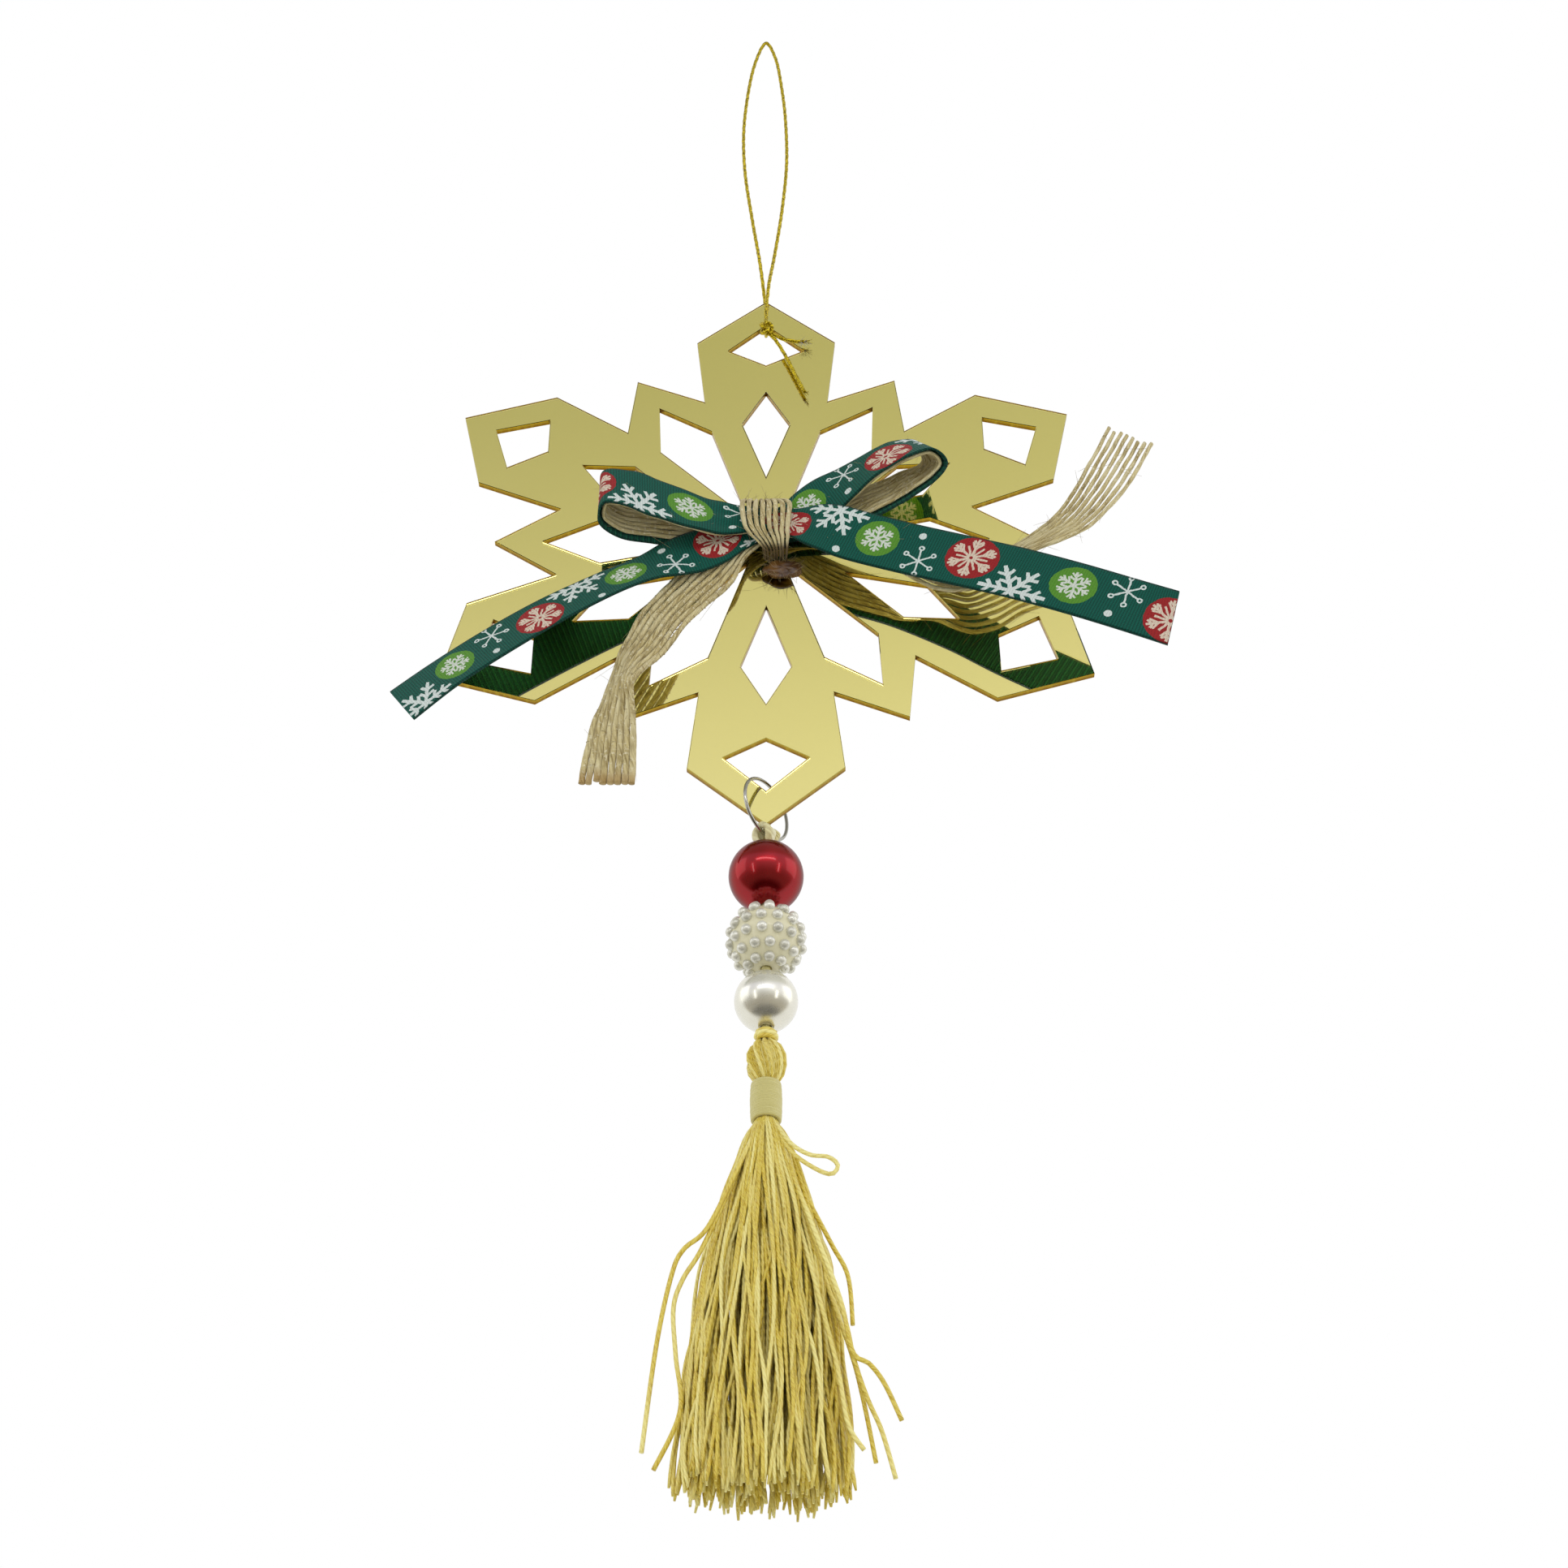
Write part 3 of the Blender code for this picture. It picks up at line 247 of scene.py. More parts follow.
# Hanging cord, in the same sizes as its solid
CORD_DIAMETER = 0.0007
CORD_BEND = 0.0014
CORD_STEP = 0.00018
FRAY_HAIRS = 14
TUFT_HAIRS = 22
KNOT_LENGTH = 0.0028
KNOT_WIDTH = 0.0028
KNOT_BELOW_CORNER = 0.0028
CORD_PASSES_BELOW_CORNER = 0.0019
CORD_LANDS_ABOVE_KNOT = 0.0012
CORD_LANDING_LIFT = 0.0004
FRONT_STRAND_BELOW_TIP = 0.0026
BACK_STRAND_BELOW_TIP = 0.0015
BACK_STRAND_ABOVE_CORNER = 0.0016
STRAND_OFF_TIP = 0.9

# Lay of each laid cord: count of strands, depth of the grooves between them, length of a turn
CORD_LAY = (3, 0.20, 0.0021)
KNOT_LAY = (3, 0.18, 0.0021)
STRING_LAY = (3, 0.16, 0.0030)
BIGHT_LAY = (3, 0.18, 0.0028)
NECK_LAY = (3, 0.16, 0.0022)

# Points of the loop, as x and the height above the plate's tip, and of the two cut tails, from the knot
LOOP_RIGHT = [
    (0.3, 1.5), (0.6, 5.0), (1.6, 14.0), (3.0, 27.0),
    (3.9, 41.0), (3.7, 55.0), (2.9, 66.0), (1.9, 74.0),
]
LOOP_LEFT = [
    (-2.0, 73.5), (-3.4, 64.0), (-4.3, 51.0), (-4.0, 38.0),
    (-2.6, 24.0), (-1.2, 12.0), (-0.4, 4.0),
]
KNOT_TAILS = (
    [(0.9, -0.6, -0.5), (2.6, -1.6, -0.9), (4.8, -2.3, -1.0), (6.8, -2.6, -0.9)],
    [(0.6, -0.9, -0.4), (2.0, -3.0, -0.7), (3.6, -6.8, -0.9), (5.2, -11.4, -1.0), (6.7, -15.6, -1.0)],
)

# Ring and bead string
RING_WIRE = 0.00055
RING_INNER_RADIUS = 0.0048
RING_TURN = math.radians(38.0)
RING_SPLIT = math.radians(14.0)
RING_OPENING = math.radians(62.0)
RING_WAY = np.array((math.sin(RING_TURN), math.cos(RING_TURN), 0.0))
ring_low, ring_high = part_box("wire_ring")
RING_CENTRE_Z = (ring_low.z + ring_high.z) / 2
RING_BOTTOM_Z = RING_CENTRE_Z - RING_INNER_RADIUS
STRAND_DIAMETER = 0.0011
STRING_DIAMETER = 0.0014
BIGHT_SPACING = 0.00115
_red_low, red_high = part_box("red_bead")
wrap_low, wrap_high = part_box("tassel_neck_wrap")

# Berry bead
BERRY_BODY_RADIUS = 0.00515
BERRY_KNOB_RADIUS = 0.00083
BERRY_KNOB_RISE = 0.00012
BERRY_ROW_STEP = math.radians(24.0)
BERRY_ROW_COUNTS = (8, 12, 14, 14, 12, 8)

# Tassel. Each ring of threads has a count and its share of the full radius. The head's profile has the
# share of its height and of its radius, the skirt's the shares of its length, half width and half depth.
# The strays stand in front of the tassel's axis by their h.
HEAD_HEIGHT = 0.0071
HEAD_RADIUS = 0.00305
HEAD_BUNDLES = 9
HEAD_RIDGE = 0.00050
COLLAR_HEIGHT = 0.0060
COLLAR_RADIUS = 0.00212
THREAD_NECK_RADIUS = 0.0015
THREAD_RADIUS = 0.00032
SKIRT_LENGTH = 0.0550
SKIRT_HALF_WIDTH = 0.0105
SKIRT_HALF_DEPTH = 0.0060
THREAD_SWELL = ((0.0, HEAD_HEIGHT, HEAD_HEIGHT + COLLAR_HEIGHT, 0.022, 1.0), (0.75, 0.60, 0.45, 0.85, 1.0))
HEAD_TOP_Z = wrap_low.z
COLLAR_TOP_Z = HEAD_TOP_Z - HEAD_HEIGHT
SKIRT_TOP_Z = COLLAR_TOP_Z - COLLAR_HEIGHT
THREAD_RINGS = ((104, 1.0), (88, 0.84), (64, 0.62), (36, 0.38), (14, 0.16))
HEAD_PROFILE = ((0.0, 0.42), (0.10, 0.72), (0.30, 0.95), (0.52, 1.0), (0.74, 0.90), (0.92, 0.66), (1.0, 0.52))
SKIRT_PROFILE = (
    (0.0, 0.16, 0.28), (0.012, 0.25, 0.40), (0.09, 0.37, 0.55), (0.18, 0.52, 0.68), (0.28, 0.66, 0.78),
    (0.40, 0.81, 0.88), (0.58, 0.92, 0.95), (0.80, 0.97, 0.99), (1.0, 1.0, 1.0),
)
STRAY_THREADS = [
    [(-0.8, -112.2, 0.6), (-3.6, -121.0, 3.2), (-7.7, -131.1, 4.2), (-10.8, -134.2, 4.0),
     (-12.3, -137.5, 3.4), (-14.1, -146.9, 2.2), (-15.7, -161.3, 0.8)],
    [(-0.9, -112.4, 0.4), (-4.6, -124.0, 3.0), (-8.5, -134.3, 4.0), (-10.8, -138.3, 3.6),
     (-12.0, -142.2, 3.0), (-11.6, -148.7, 2.4), (-10.9, -156.3, 2.0), (-14.1, -163.8, 1.2)],
    [(0.8, -112.2, 0.3), (4.2, -122.0, 1.4), (8.6, -132.0, 1.6), (10.8, -136.8, 1.2), (11.3, -143.7, 0.8)],
    [(0.7, -112.4, 0.8), (5.6, -129.0, 3.8), (9.6, -142.0, 5.0), (11.1, -149.4, 4.6), (13.2, -150.8, 4.0),
     (15.1, -153.2, 3.2), (17.2, -157.7, 2.0)],
    [(0.9, -112.4, 0.5), (6.0, -131.0, 3.6), (10.0, -144.0, 4.4), (11.3, -150.3, 4.0), (12.9, -155.3, 3.2),
     (14.6, -159.3, 2.4), (16.2, -165.3, 1.6)],
    [(0.9, -112.4, 0.1), (7.0, -135.0, 2.0), (10.8, -148.0, 2.6), (12.3, -154.5, 2.2), (13.8, -163.1, 1.4)],
    [(0.6, -112.4, 0.9), (6.6, -140.0, 4.2), (9.2, -152.0, 4.6), (10.3, -159.0, 4.0), (12.3, -162.2, 3.2)],
]
STRAY_LOOP = [
    (0.8, -112.4, 0.9), (3.4, -117.4, 2.8), (6.0, -119.8, 3.8), (8.4, -120.5, 4.4), (9.7, -121.8, 4.4),
    (8.8, -123.2, 4.4), (6.4, -121.8, 3.8), (3.4, -118.6, 2.8), (0.8, -113.0, 0.9),
]

# Camera of the photograph: place, and the directions of its right side, its top and its back
CAMERA_PLACE = (0.0029, -0.3065, -0.4421)
CAMERA_AXES = ((1.0000, 0.0041, -0.0043), (0.0059, -0.6339, 0.7734), (0.0004, -0.7734, -0.6339))
CAMERA_LENS = 59.51
SENSOR_WIDTH = 36.0

# Studio. Softboxes: name, azimuth, elevation, distance, width, height, radiance. The surroundings' tints
# go by height, from 0 straight below to 1 straight above.
SOFTBOXES = (
    ("lightbox top strip", 0, 19, 0.95, 0.95, 0.10, 4.2),
    ("lightbox left strip", -38, -6, 0.95, 0.07, 0.46, 3.4),
    ("lightbox right strip", 38, -6, 0.95, 0.07, 0.46, 3.4),
    ("left wall", -80, 14, 0.8, 0.55, 0.55, 0.75),
    ("right wall", 80, 14, 0.8, 0.55, 0.55, 0.75),
)
WORLD_TINTS = (
    (0.30, (1.0, 0.89, 0.66)), (0.55, (1.0, 1.0, 1.0)), (0.80, (1.0, 1.0, 1.16)),
    (0.88, (1.0, 1.0, 0.86)), (1.0, (1.0, 1.0, 0.94)),
)
FLOOR_RADIUS = 1.4
FLOOR_Z = -0.62


class Field:
    """Number that varies over a surface, worked out by math nodes."""

    def __init__(self, tree, socket):
        self.tree = tree
        self.socket = socket

    def math(self, operation, *others):
        node = self.tree.nodes.new("ShaderNodeMath")
        node.operation = operation
        for socket, value in zip(node.inputs, (self, *others)):
            if isinstance(value, Field):
                self.tree.links.new(value.socket, socket)
            else:
                socket.default_value = value
        return Field(self.tree, node.outputs[0])

    __add__ = partialmethod(math, "ADD")
    __sub__ = partialmethod(math, "SUBTRACT")
    __mul__ = partialmethod(math, "MULTIPLY")
    __mod__ = partialmethod(math, "FLOORED_MODULO")
    __abs__ = partialmethod(math, "ABSOLUTE")
    below = partialmethod(math, "LESS_THAN")
    above = partialmethod(math, "GREATER_THAN")
    highest = partialmethod(math, "MAXIMUM")
    lowest = partialmethod(math, "MINIMUM")
    sin = partialmethod(math, "SINE")
    cos = partialmethod(math, "COSINE")
    root = partialmethod(math, "SQRT")

    def ramp(self, low, high, to_low=0.0, to_high=1.0):
        """Smooth step from one value at low to another at high."""
        node = self.tree.nodes.new("ShaderNodeMapRange")
        node.interpolation_type = "SMOOTHSTEP"
        self.tree.links.new(self.socket, node.inputs["Value"])
        for name, value in (("From Min", low), ("From Max", high), ("To Min", to_low), ("To Max", to_high)):
            node.inputs[name].default_value = value
        return Field(self.tree, node.outputs["Result"])


def split_fields(tree, socket):
    """The three parts of a vector socket, as fields."""
    parts = tree.nodes.new("ShaderNodeSeparateXYZ")
    tree.links.new(socket, parts.inputs[0])
    return [Field(tree, output) for output in parts.outputs]


class Surface:
    """Principled material and the nodes that feed it."""

    def __init__(self, name, settings):
        self.material = bpy.data.materials.new(name)
        self.material.use_nodes = True
        self.tree = self.material.node_tree
        self.shader = self.tree.nodes["Principled BSDF"]
        for socket, value in settings.items():
            self.shader.inputs[socket].default_value = value

    def link(self, name, value):
        self.tree.links.new(getattr(value, "socket", value), self.shader.inputs[name])

    def place(self):
        """Place on the object, as three fields in millimetres."""
        node = self.tree.nodes.new("ShaderNodeTexCoord")
        return [field * 1000.0 for field in split_fields(self.tree, node.outputs["Object"])]

    def flat(self, layer="length"):
        """The two fields of a texture layer."""
        node = self.tree.nodes.new("ShaderNodeUVMap")
        node.uv_map = layer
        return split_fields(self.tree, node.outputs["UV"])[:2]

    def island(self):
        """Random number of each separate strand or knob."""
        return Field(self.tree, self.tree.nodes.new("ShaderNodeNewGeometry").outputs["Random Per Island"])

    def noise(self, fields, detail, stretch):
        """Noise over two or three fields, each stretched by a number of its own or all by one."""
        joined = self.tree.nodes.new("ShaderNodeCombineXYZ")
        for socket, field, size in zip(joined.inputs, fields, np.broadcast_to(stretch, len(fields))):
            self.tree.links.new((field * float(size)).socket, socket)
        node = self.tree.nodes.new("ShaderNodeTexNoise")
        self.tree.links.new(joined.outputs[0], node.inputs["Vector"])
        node.inputs["Scale"].default_value = 1.0
        node.inputs["Detail"].default_value = detail
        return Field(self.tree, node.outputs["Fac"])

    def mix(self, share, first, second):
        """Colour between two, each a colour or another mix."""
        node = self.tree.nodes.new("ShaderNodeMix")
        node.data_type = "RGBA"
        self.tree.links.new(share.socket, node.inputs["Factor"])
        colours = [socket for socket in node.inputs if socket.type == "RGBA"]
        for socket, value in zip(colours, (first, second)):
            if isinstance(value, tuple):
                socket.default_value = (*value, 1.0)
            else:
                self.tree.links.new(value, socket)
        return next(item for item in node.outputs if item.type == "RGBA")

    def bump(self, height, depth, strength):
        node = self.tree.nodes.new("ShaderNodeBump")
        node.inputs["Strength"].default_value = strength
        node.inputs["Distance"].default_value = depth
        self.tree.links.new(height.socket, node.inputs["Height"])
        self.link("Normal", node.outputs["Normal"])


def catmull_rom(rows, steps):
    """Rows of numbers along a smooth curve through the given rows."""
    rows = np.asarray(rows, float)
    last = len(rows) - 1
    result = []
    for index in range(last):
        a, b, c, d = (rows[min(max(index + shift, 0), last)] for shift in (-1, 0, 1, 2))
        for step in range(steps):
            t = step / steps
            result.append(0.5 * (2 * b + (c - a) * t + (2 * a - 5 * b + 4 * c - d) * t ** 2
                                 + (3 * b - a - 3 * c + d) * t ** 3))
    result.append(rows[last])
    return np.array(result)


def lengths_along(points):
    steps = np.linalg.norm(np.diff(points, axis=0), axis=1)
    return np.concatenate([[0.0], np.cumsum(steps)])


def resampled(rows, spacing):
    """Rows at equal steps of about the spacing along the line of their first three numbers."""
    lengths = lengths_along(rows[:, :3])
    count = max(int(lengths[-1] / spacing), 2) + 1
    targets = np.linspace(0.0, lengths[-1], count)
    return np.stack([np.interp(targets, lengths, column) for column in rows.T], axis=1)


def unit(vectors):
    return vectors / np.maximum(np.linalg.norm(vectors, axis=-1, keepdims=True), 1e-12)


def to_world(points):
    """World places of points x right and y up from the plate's centre, height out of its front."""
    points = np.asarray(points, float)
    return np.stack([
        points[..., 0],
        -(PLATE_THICKNESS / 2 + points[..., 2]),
        PLATE_CENTRE_Z + points[..., 1],
    ], axis=-1)


class Build:
    """Vertices, faces and texture places that are gathered into one mesh object."""

    def __init__(self):
        self.verts = []
        self.count = 0
        self.faces = []
        self.slots = []
        self.layers = {"length": [], "print": []}

    def add_verts(self, points):
        points = np.asarray(points, float).reshape(-1, 3)
        start = self.count
        self.verts.append(points)
        self.count += len(points)
        return start

    def add_faces(self, faces, places=None, slot=0, motifs=None):
        faces = np.asarray(faces)
        self.faces += faces.tolist()
        self.slots += [slot] * len(faces)
        for layer, values in (("length", places), ("print", motifs)):
            self.layers[layer].append(np.zeros((faces.size, 2)) if values is None else values.reshape(-1, 2))

    def finish(self, name, materials, slot=None, node=None, smooth=True, layers=("length",)):
        """Mesh object. With a slot it rides on the one body, and with a node it stands for that solid."""
        data = bpy.data.meshes.new(name)
        data.from_pydata(np.concatenate(self.verts).tolist(), [], self.faces)
        for layer in layers:
            made = data.uv_layers.new(name=layer)
            made.uv.foreach_set("vector", np.concatenate(self.layers[layer]).astype(np.float32).ravel())
        for material in materials:
            data.materials.append(material)
        data.polygons.foreach_set("material_index", self.slots)
        data.polygons.foreach_set("use_smooth", [smooth] * len(self.faces))
        data.validate()
        item = bpy.data.objects.new(name, data)
        bpy.context.scene.collection.objects.link(item)
        if node:
            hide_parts(node)
        if slot:
            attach(item, "root")
        return item


def grid_quads(rows, columns, rows_close=False, columns_close=True):
    """Quads over a grid, and the row and column of each corner, which count on past a closing."""
    row, column = np.indices((rows - (not rows_close), columns - (not columns_close))).reshape(2, -1, 1)
    row = row + np.array((0, 0, 1, 1))
    column = column + np.array((0, 1, 1, 0))
    return row % rows * columns + column % columns, row, column


def add_fan(build, ring, tip, flip, place=(0.0, 0.0), slot=0):
    """Triangles from a ring of vertices to a new one at its tip."""
    centre = build.add_verts(tip)
    pairs = np.stack([ring, np.roll(ring, -1)], axis=-1)
    fan = np.column_stack([pairs[:, ::-1] if flip else pairs, np.full(len(ring), centre)])
    build.add_faces(fan, np.tile(place, (3 * len(ring), 1)), slot)


def frames_along(points):
    """Side and up directions along a line, turned as little as possible."""
    along = unit(np.gradient(points, axis=0))
    first = np.array((1.0, 0.0, 0.0)) if abs(along[0][0]) < 0.9 else np.array((0.0, 1.0, 0.0))
    side = unit(np.cross(along[0], first))
    sides = [side]
    for direction in along[1:]:
        side = side - direction * (side @ direction)
        side = side / max(np.linalg.norm(side), 1e-12)
        sides.append(side)
    sides = np.array(sides)
    return sides, np.cross(along, sides)


def add_section_grid(build, grid, lengths, slot=0):
    """Skin round a grid of section points, row by row, closed by a fan at each end."""
    rows, sides = grid.shape[:2]
    start = build.add_verts(grid)
    quads, row, column = grid_quads(rows, sides)
    build.add_faces(start + quads, np.stack([lengths[row], column / sides], axis=-1), slot)
    for end, flip in ((0, True), (rows - 1, False)):
        ring = start + end * sides + np.arange(sides)
        add_fan(build, ring, grid[end].mean(axis=0), flip, (lengths[end], 0.5), slot)


def ball_ways(down, turn):
    """Directions at angles from straight up and turns round the vertical."""
    level = np.sin(down)
    return np.stack(np.broadcast_arrays(level * np.cos(turn), level * np.sin(turn), np.cos(down)), axis=-1)


def add_tube(build, points, radius, sides=8, lay=None, slot=0):
    """Round strand along world points, its radius a number or one for each point.

    A laid strand has a count of plies, the depth of the grooves between them and the length of a turn.
    """
    points = np.asarray(points, float)
    lengths = lengths_along(points)
    side, up = frames_along(points)
    angles = np.linspace(0.0, TURN, sides, endpoint=False)
    reach = np.broadcast_to(np.asarray(radius, float).reshape(-1, 1), (len(points), sides)).copy()
    if lay:
        plies, depth, pitch = lay
        turn = TURN * lengths[:, None] / pitch
        reach *= 1.0 - depth * (0.5 - 0.5 * np.cos(plies * angles[None, :] - turn))
    grid = (points[:, None, :] + side[:, None, :] * (reach * np.cos(angles))[..., None]
            + up[:, None, :] * (reach * np.sin(angles))[..., None])
    add_section_grid(build, grid, lengths * TO_TEXTURE, slot)


def wander(lengths, size, wavelength, seed):
    """Smooth irregular offset along a strand, as a sum of three waves."""
    chance = random.Random(seed)
    total = np.zeros(len(lengths))
    for share in (1.0, 0.55, 0.3):
        phase = chance.uniform(0.0, TURN)
        wave = wavelength * share * chance.uniform(0.8, 1.25)
        total += share * np.sin(TURN * lengths / wave + phase)
    return size * total / 1.3


def random_vector():
    return np.array([dice.uniform(-1, 1) for _axis in range(3)])


def add_hairs(build, roots, ways, longest, radius, slot=0):
    """Loose fibres: short curved hairs that stand off a strand."""
    for root, way in zip(roots, ways):
        reach = longest * dice.uniform(0.35, 1.0)
        bend = random_vector() * reach * 0.55
        middle = root + way * reach * 0.5 + bend * 0.6
        points = catmull_rom([root, middle, root + way * reach * 0.8 + bend], 4)
        add_tube(build, points, np.linspace(radius, radius * 0.5, len(points)), 3, slot=slot)


def make_fuzz(name, roots, ways, longest, material):
    """Loose jute fibres, in one piece."""
    hairs = Build()
    add_hairs(hairs, roots, ways, longest, FIBRE_RADIUS)
    hairs.finish(name, [material], "jute")


def route_rows(route):
    """Rows of x, y, height, width direction, slope and width share, in metres and radians."""
    return [
        [x * MM, y * MM, layer + rise * MM, math.radians(direction), math.radians(slope), share]
        for layer, (x, y, rise, direction, slope, share) in route
    ]


def strip_frames(rows):
    """Centre, width direction, printed side and stretched half-width share of a ribbon's rows."""
    centres = rows[:, :3]
    along = unit(np.gradient(centres, axis=0))
    direction, slope = rows[:, 3], rows[:, 4]
    across = np.stack([
        np.cos(direction) * np.cos(slope), np.sin(direction) * np.cos(slope), np.sin(slope),
    ], axis=1)
    normal = unit(np.cross(along, across))
    lean = np.maximum(np.linalg.norm(np.cross(across, along), axis=1), 0.5)
    return centres, across, normal, rows[:, 5] / lean


def ribbon_rows():
    return catmull_rom(route_rows(RIBBON_ROUTE), ROUTE_STEPS)


def jute_rows():
    """Rows of the jute's middle line: its left tail, the lining behind the print, its right tail."""
    rows = ribbon_rows()
    centres, _across, normal, _share = strip_frames(rows)
    lining = rows.copy()
    lining[:, :3] = centres - normal * LINING_DROP
    lining = lining[LINING_START * ROUTE_STEPS:LINING_END * ROUTE_STEPS + 1]
    reach = ROUTE_STEPS // 2
    left_rows = route_rows([(MIDDLE_LINING, row) for row in JUTE_LEFT_TAIL])
    right_rows = route_rows([(TOP_LAYER, row) for row in JUTE_RIGHT_TAIL])
    left = catmull_rom(left_rows + [lining[0], lining[reach]], TAIL_STEPS)[:len(left_rows) * TAIL_STEPS]
    right = catmull_rom([lining[-1 - reach], lining[-1]] + right_rows, TAIL_STEPS)[TAIL_STEPS + 1:]
    return np.concatenate([left, lining, right]), len(left), len(left) + len(lining)


def cloth_print(surface):
    """Snowflake print on the flat ribbon: its colour, and the places that have ink over the ground."""
    phase, across = surface.flat("print")
    across = across * 10.0
    rough = surface.noise((phase, across), 1.0, (9.0, 1.2)) - 0.5
    rough_too = surface.noise((across, phase), 1.0, (1.3, 10.0)) - 0.5

    def centred(kind):
        """Distance along the ribbon from the nearest motif of a kind, and the side it leans to."""
        turned = (phase - float(kind) + KINDS / 2) % float(KINDS)
        turned = (turned - KINDS / 2) * MOTIF_PITCH + rough * 0.35
        period = (phase - float(kind) + KINDS / 2) % float(2 * KINDS)
        return turned, period.below(float(KINDS)) * 2.0 - 1.0

    def distance(along, out):
        return (along * along + out * out).root()

    def arm_place(along, out, turn):
        """Place in one arm, onto which all six are folded."""
        angle = out.math("ARCTAN2", along) + math.radians(turn)
        angle = abs((angle + math.pi / 6) % (math.pi / 3) - math.pi / 6)
        radius = distance(along, out)
        return radius * angle.cos(), radius * angle.sin()

    def star(place, arm, width, branches=(), inner=0.0):
        """Arms with pairs of branches: 1 where they cover the surface, or else 0."""
        x, y = place
        shape = y.below(width / 2) * x.below(arm) * x.above(inner)
        for start, length, lean, thickness in branches:
            c, s = math.cos(math.radians(lean)), math.sin(math.radians(lean))
            run = (x - start) * c + y * s
            off = abs(y * c - (x - start) * s)
            shape = shape.highest(off.below(thickness / 2) * run.below(length) * run.above(-0.1))
        return shape

    red_along, red_side = centred(0)
    red_out = across + red_side * 0.8 * -1.0 + rough_too * 0.3
    red_radius = distance(red_along, red_out)
    red = red_radius.below(4.4)
    red_flake = star(arm_place(red_along, red_out, 90.0), 4.0, 0.46,
                     [(1.9, 1.7, 33.0, 0.40), (2.9, 1.1, 45.0, 0.40)], RED_HOLE)
    red_spokes = star(arm_place(red_along, red_out, 60.0), 2.7, 0.38, inner=RED_HOLE)
    red_hub = red_radius.below(0.85) * red_radius.above(RED_HOLE)
    red_flake = red_flake.highest(red_spokes).highest(red_hub)

    green_along, _side = centred(2)
    green_out = across - 0.4 + rough_too * 0.3
    green = distance(green_along, green_out).below(3.75)
    green_flake = star(arm_place(green_along, green_out, 80.0), 2.8, 0.42,
                       [(1.0, 1.25, 50.0, 0.36), (1.8, 1.0, 45.0, 0.36)])

    star_along, star_side = centred(3)
    spoke = arm_place(star_along, across - star_side * 2.2 + rough_too * 0.25, 82.0)
    ring = distance(spoke[0] - 2.75, spoke[1])
    spokes = star(spoke, 2.35, 0.34).highest(ring.below(0.52) * ring.above(0.22))
    dot = distance(star_along + 1.2, across + star_side * 3.0).below(DOT_RADIUS)

    half_along, half_side = centred(1)
    half_out = across + half_side * 3.9 + rough_too * 0.35
    half = star(arm_place(half_along, half_out, 0.0), 5.4, 0.68,
                [(1.7, 1.7, 55.0, 0.60), (3.3, 1.6, 52.0, 0.60)])
    half = half * (half_out * half_side).above(-1.2)
    hanging_dot = distance(half_along - 2.6, across - half_side * 3.9).below(DOT_RADIUS)
    hanging_dot = hanging_dot * half_side.below(0.0)

    white = spokes.highest(dot).highest(half).highest(hanging_dot)
    ink_wear = surface.noise((phase, across), 2.0, (26.0, 3.0))
    ground = surface.mix(ink_wear, (0.0008, 0.083, 0.056), (0.0016, 0.112, 0.077))
    colour = surface.mix(red, ground, (0.34, 0.016, 0.018))
    colour = surface.mix(red * red_flake, colour, (0.72, 0.60, 0.47))
    colour = surface.mix(green, colour, (0.10, 0.29, 0.028))
    colour = surface.mix(green * green_flake, colour, (0.66, 0.72, 0.62))
    return surface.mix(white, colour, (0.68, 0.76, 0.72)), white.highest(red).highest(green)


def grosgrain(surface, colour, ink=None):
    """Cross ribs with painted shade in the hollows between them, and a darker woven edge, over a ribbon's
    colour. The painted rib shade shows less under the ink.
    """
    length, across = surface.flat()
    weave = surface.noise((length, across), 2.0, (14.0, 40.0))
    rib = ((length * 10.0 + weave * 0.12) * (TURN / RIB_PITCH)).sin()
    thread = (across * 10.0 * (TURN / WARP_PITCH) + rib * 0.6).sin()
    edge = abs(across).ramp(0.478, 0.512)
    # Painted shade: the colour darkens towards near black in the hollow between each two ribs.
    painted_groove_shade = rib.ramp(-1.1, 0.3, 0.50, 0.0)
    if ink:
        painted_groove_shade = painted_groove_shade * (ink * -0.65 + 1.0)
    shade = (painted_groove_shade * -1.0 + 1.0) * (weave * 0.35 + 0.83) * (edge * -0.55 + 1.0)
    surface.link("Base Color", surface.mix(shade, (0.0004, 0.010, 0.008), colour))
    surface.bump(rib * 0.6 + thread * 0.3 + weave * 0.6 - edge * 1.5, 0.00012, 0.55)
    return surface.material


def green_print():
    surface = Surface("green printed grosgrain", {
        "Roughness": 0.62, "Sheen Weight": 0.04, "Sheen Roughness": 0.4, "Specular IOR Level": 0.15,
    })
    return grosgrain(surface, *cloth_print(surface))


def green_back():
    """Unprinted side, with a painted highlight line on the crest of each second rib."""
    surface = Surface("green grosgrain back", {
        "Roughness": 0.7, "Sheen Weight": 0.04, "Specular IOR Level": 0.22,
    })
    length, across = surface.flat()
    cloud = surface.noise((length, across), 2.0, 2.0)
    # Painted highlight: a lighter green line on the crest of each second rib.
    ridge = (length * 10.0 * (math.pi / RIB_PITCH)).sin().ramp(0.72, 0.98) * 0.5
    colour = surface.mix(cloud, (0.003, 0.070, 0.050), (0.005, 0.110, 0.078))
    return grosgrain(surface, surface.mix(ridge, colour, (0.03, 0.36, 0.17)))


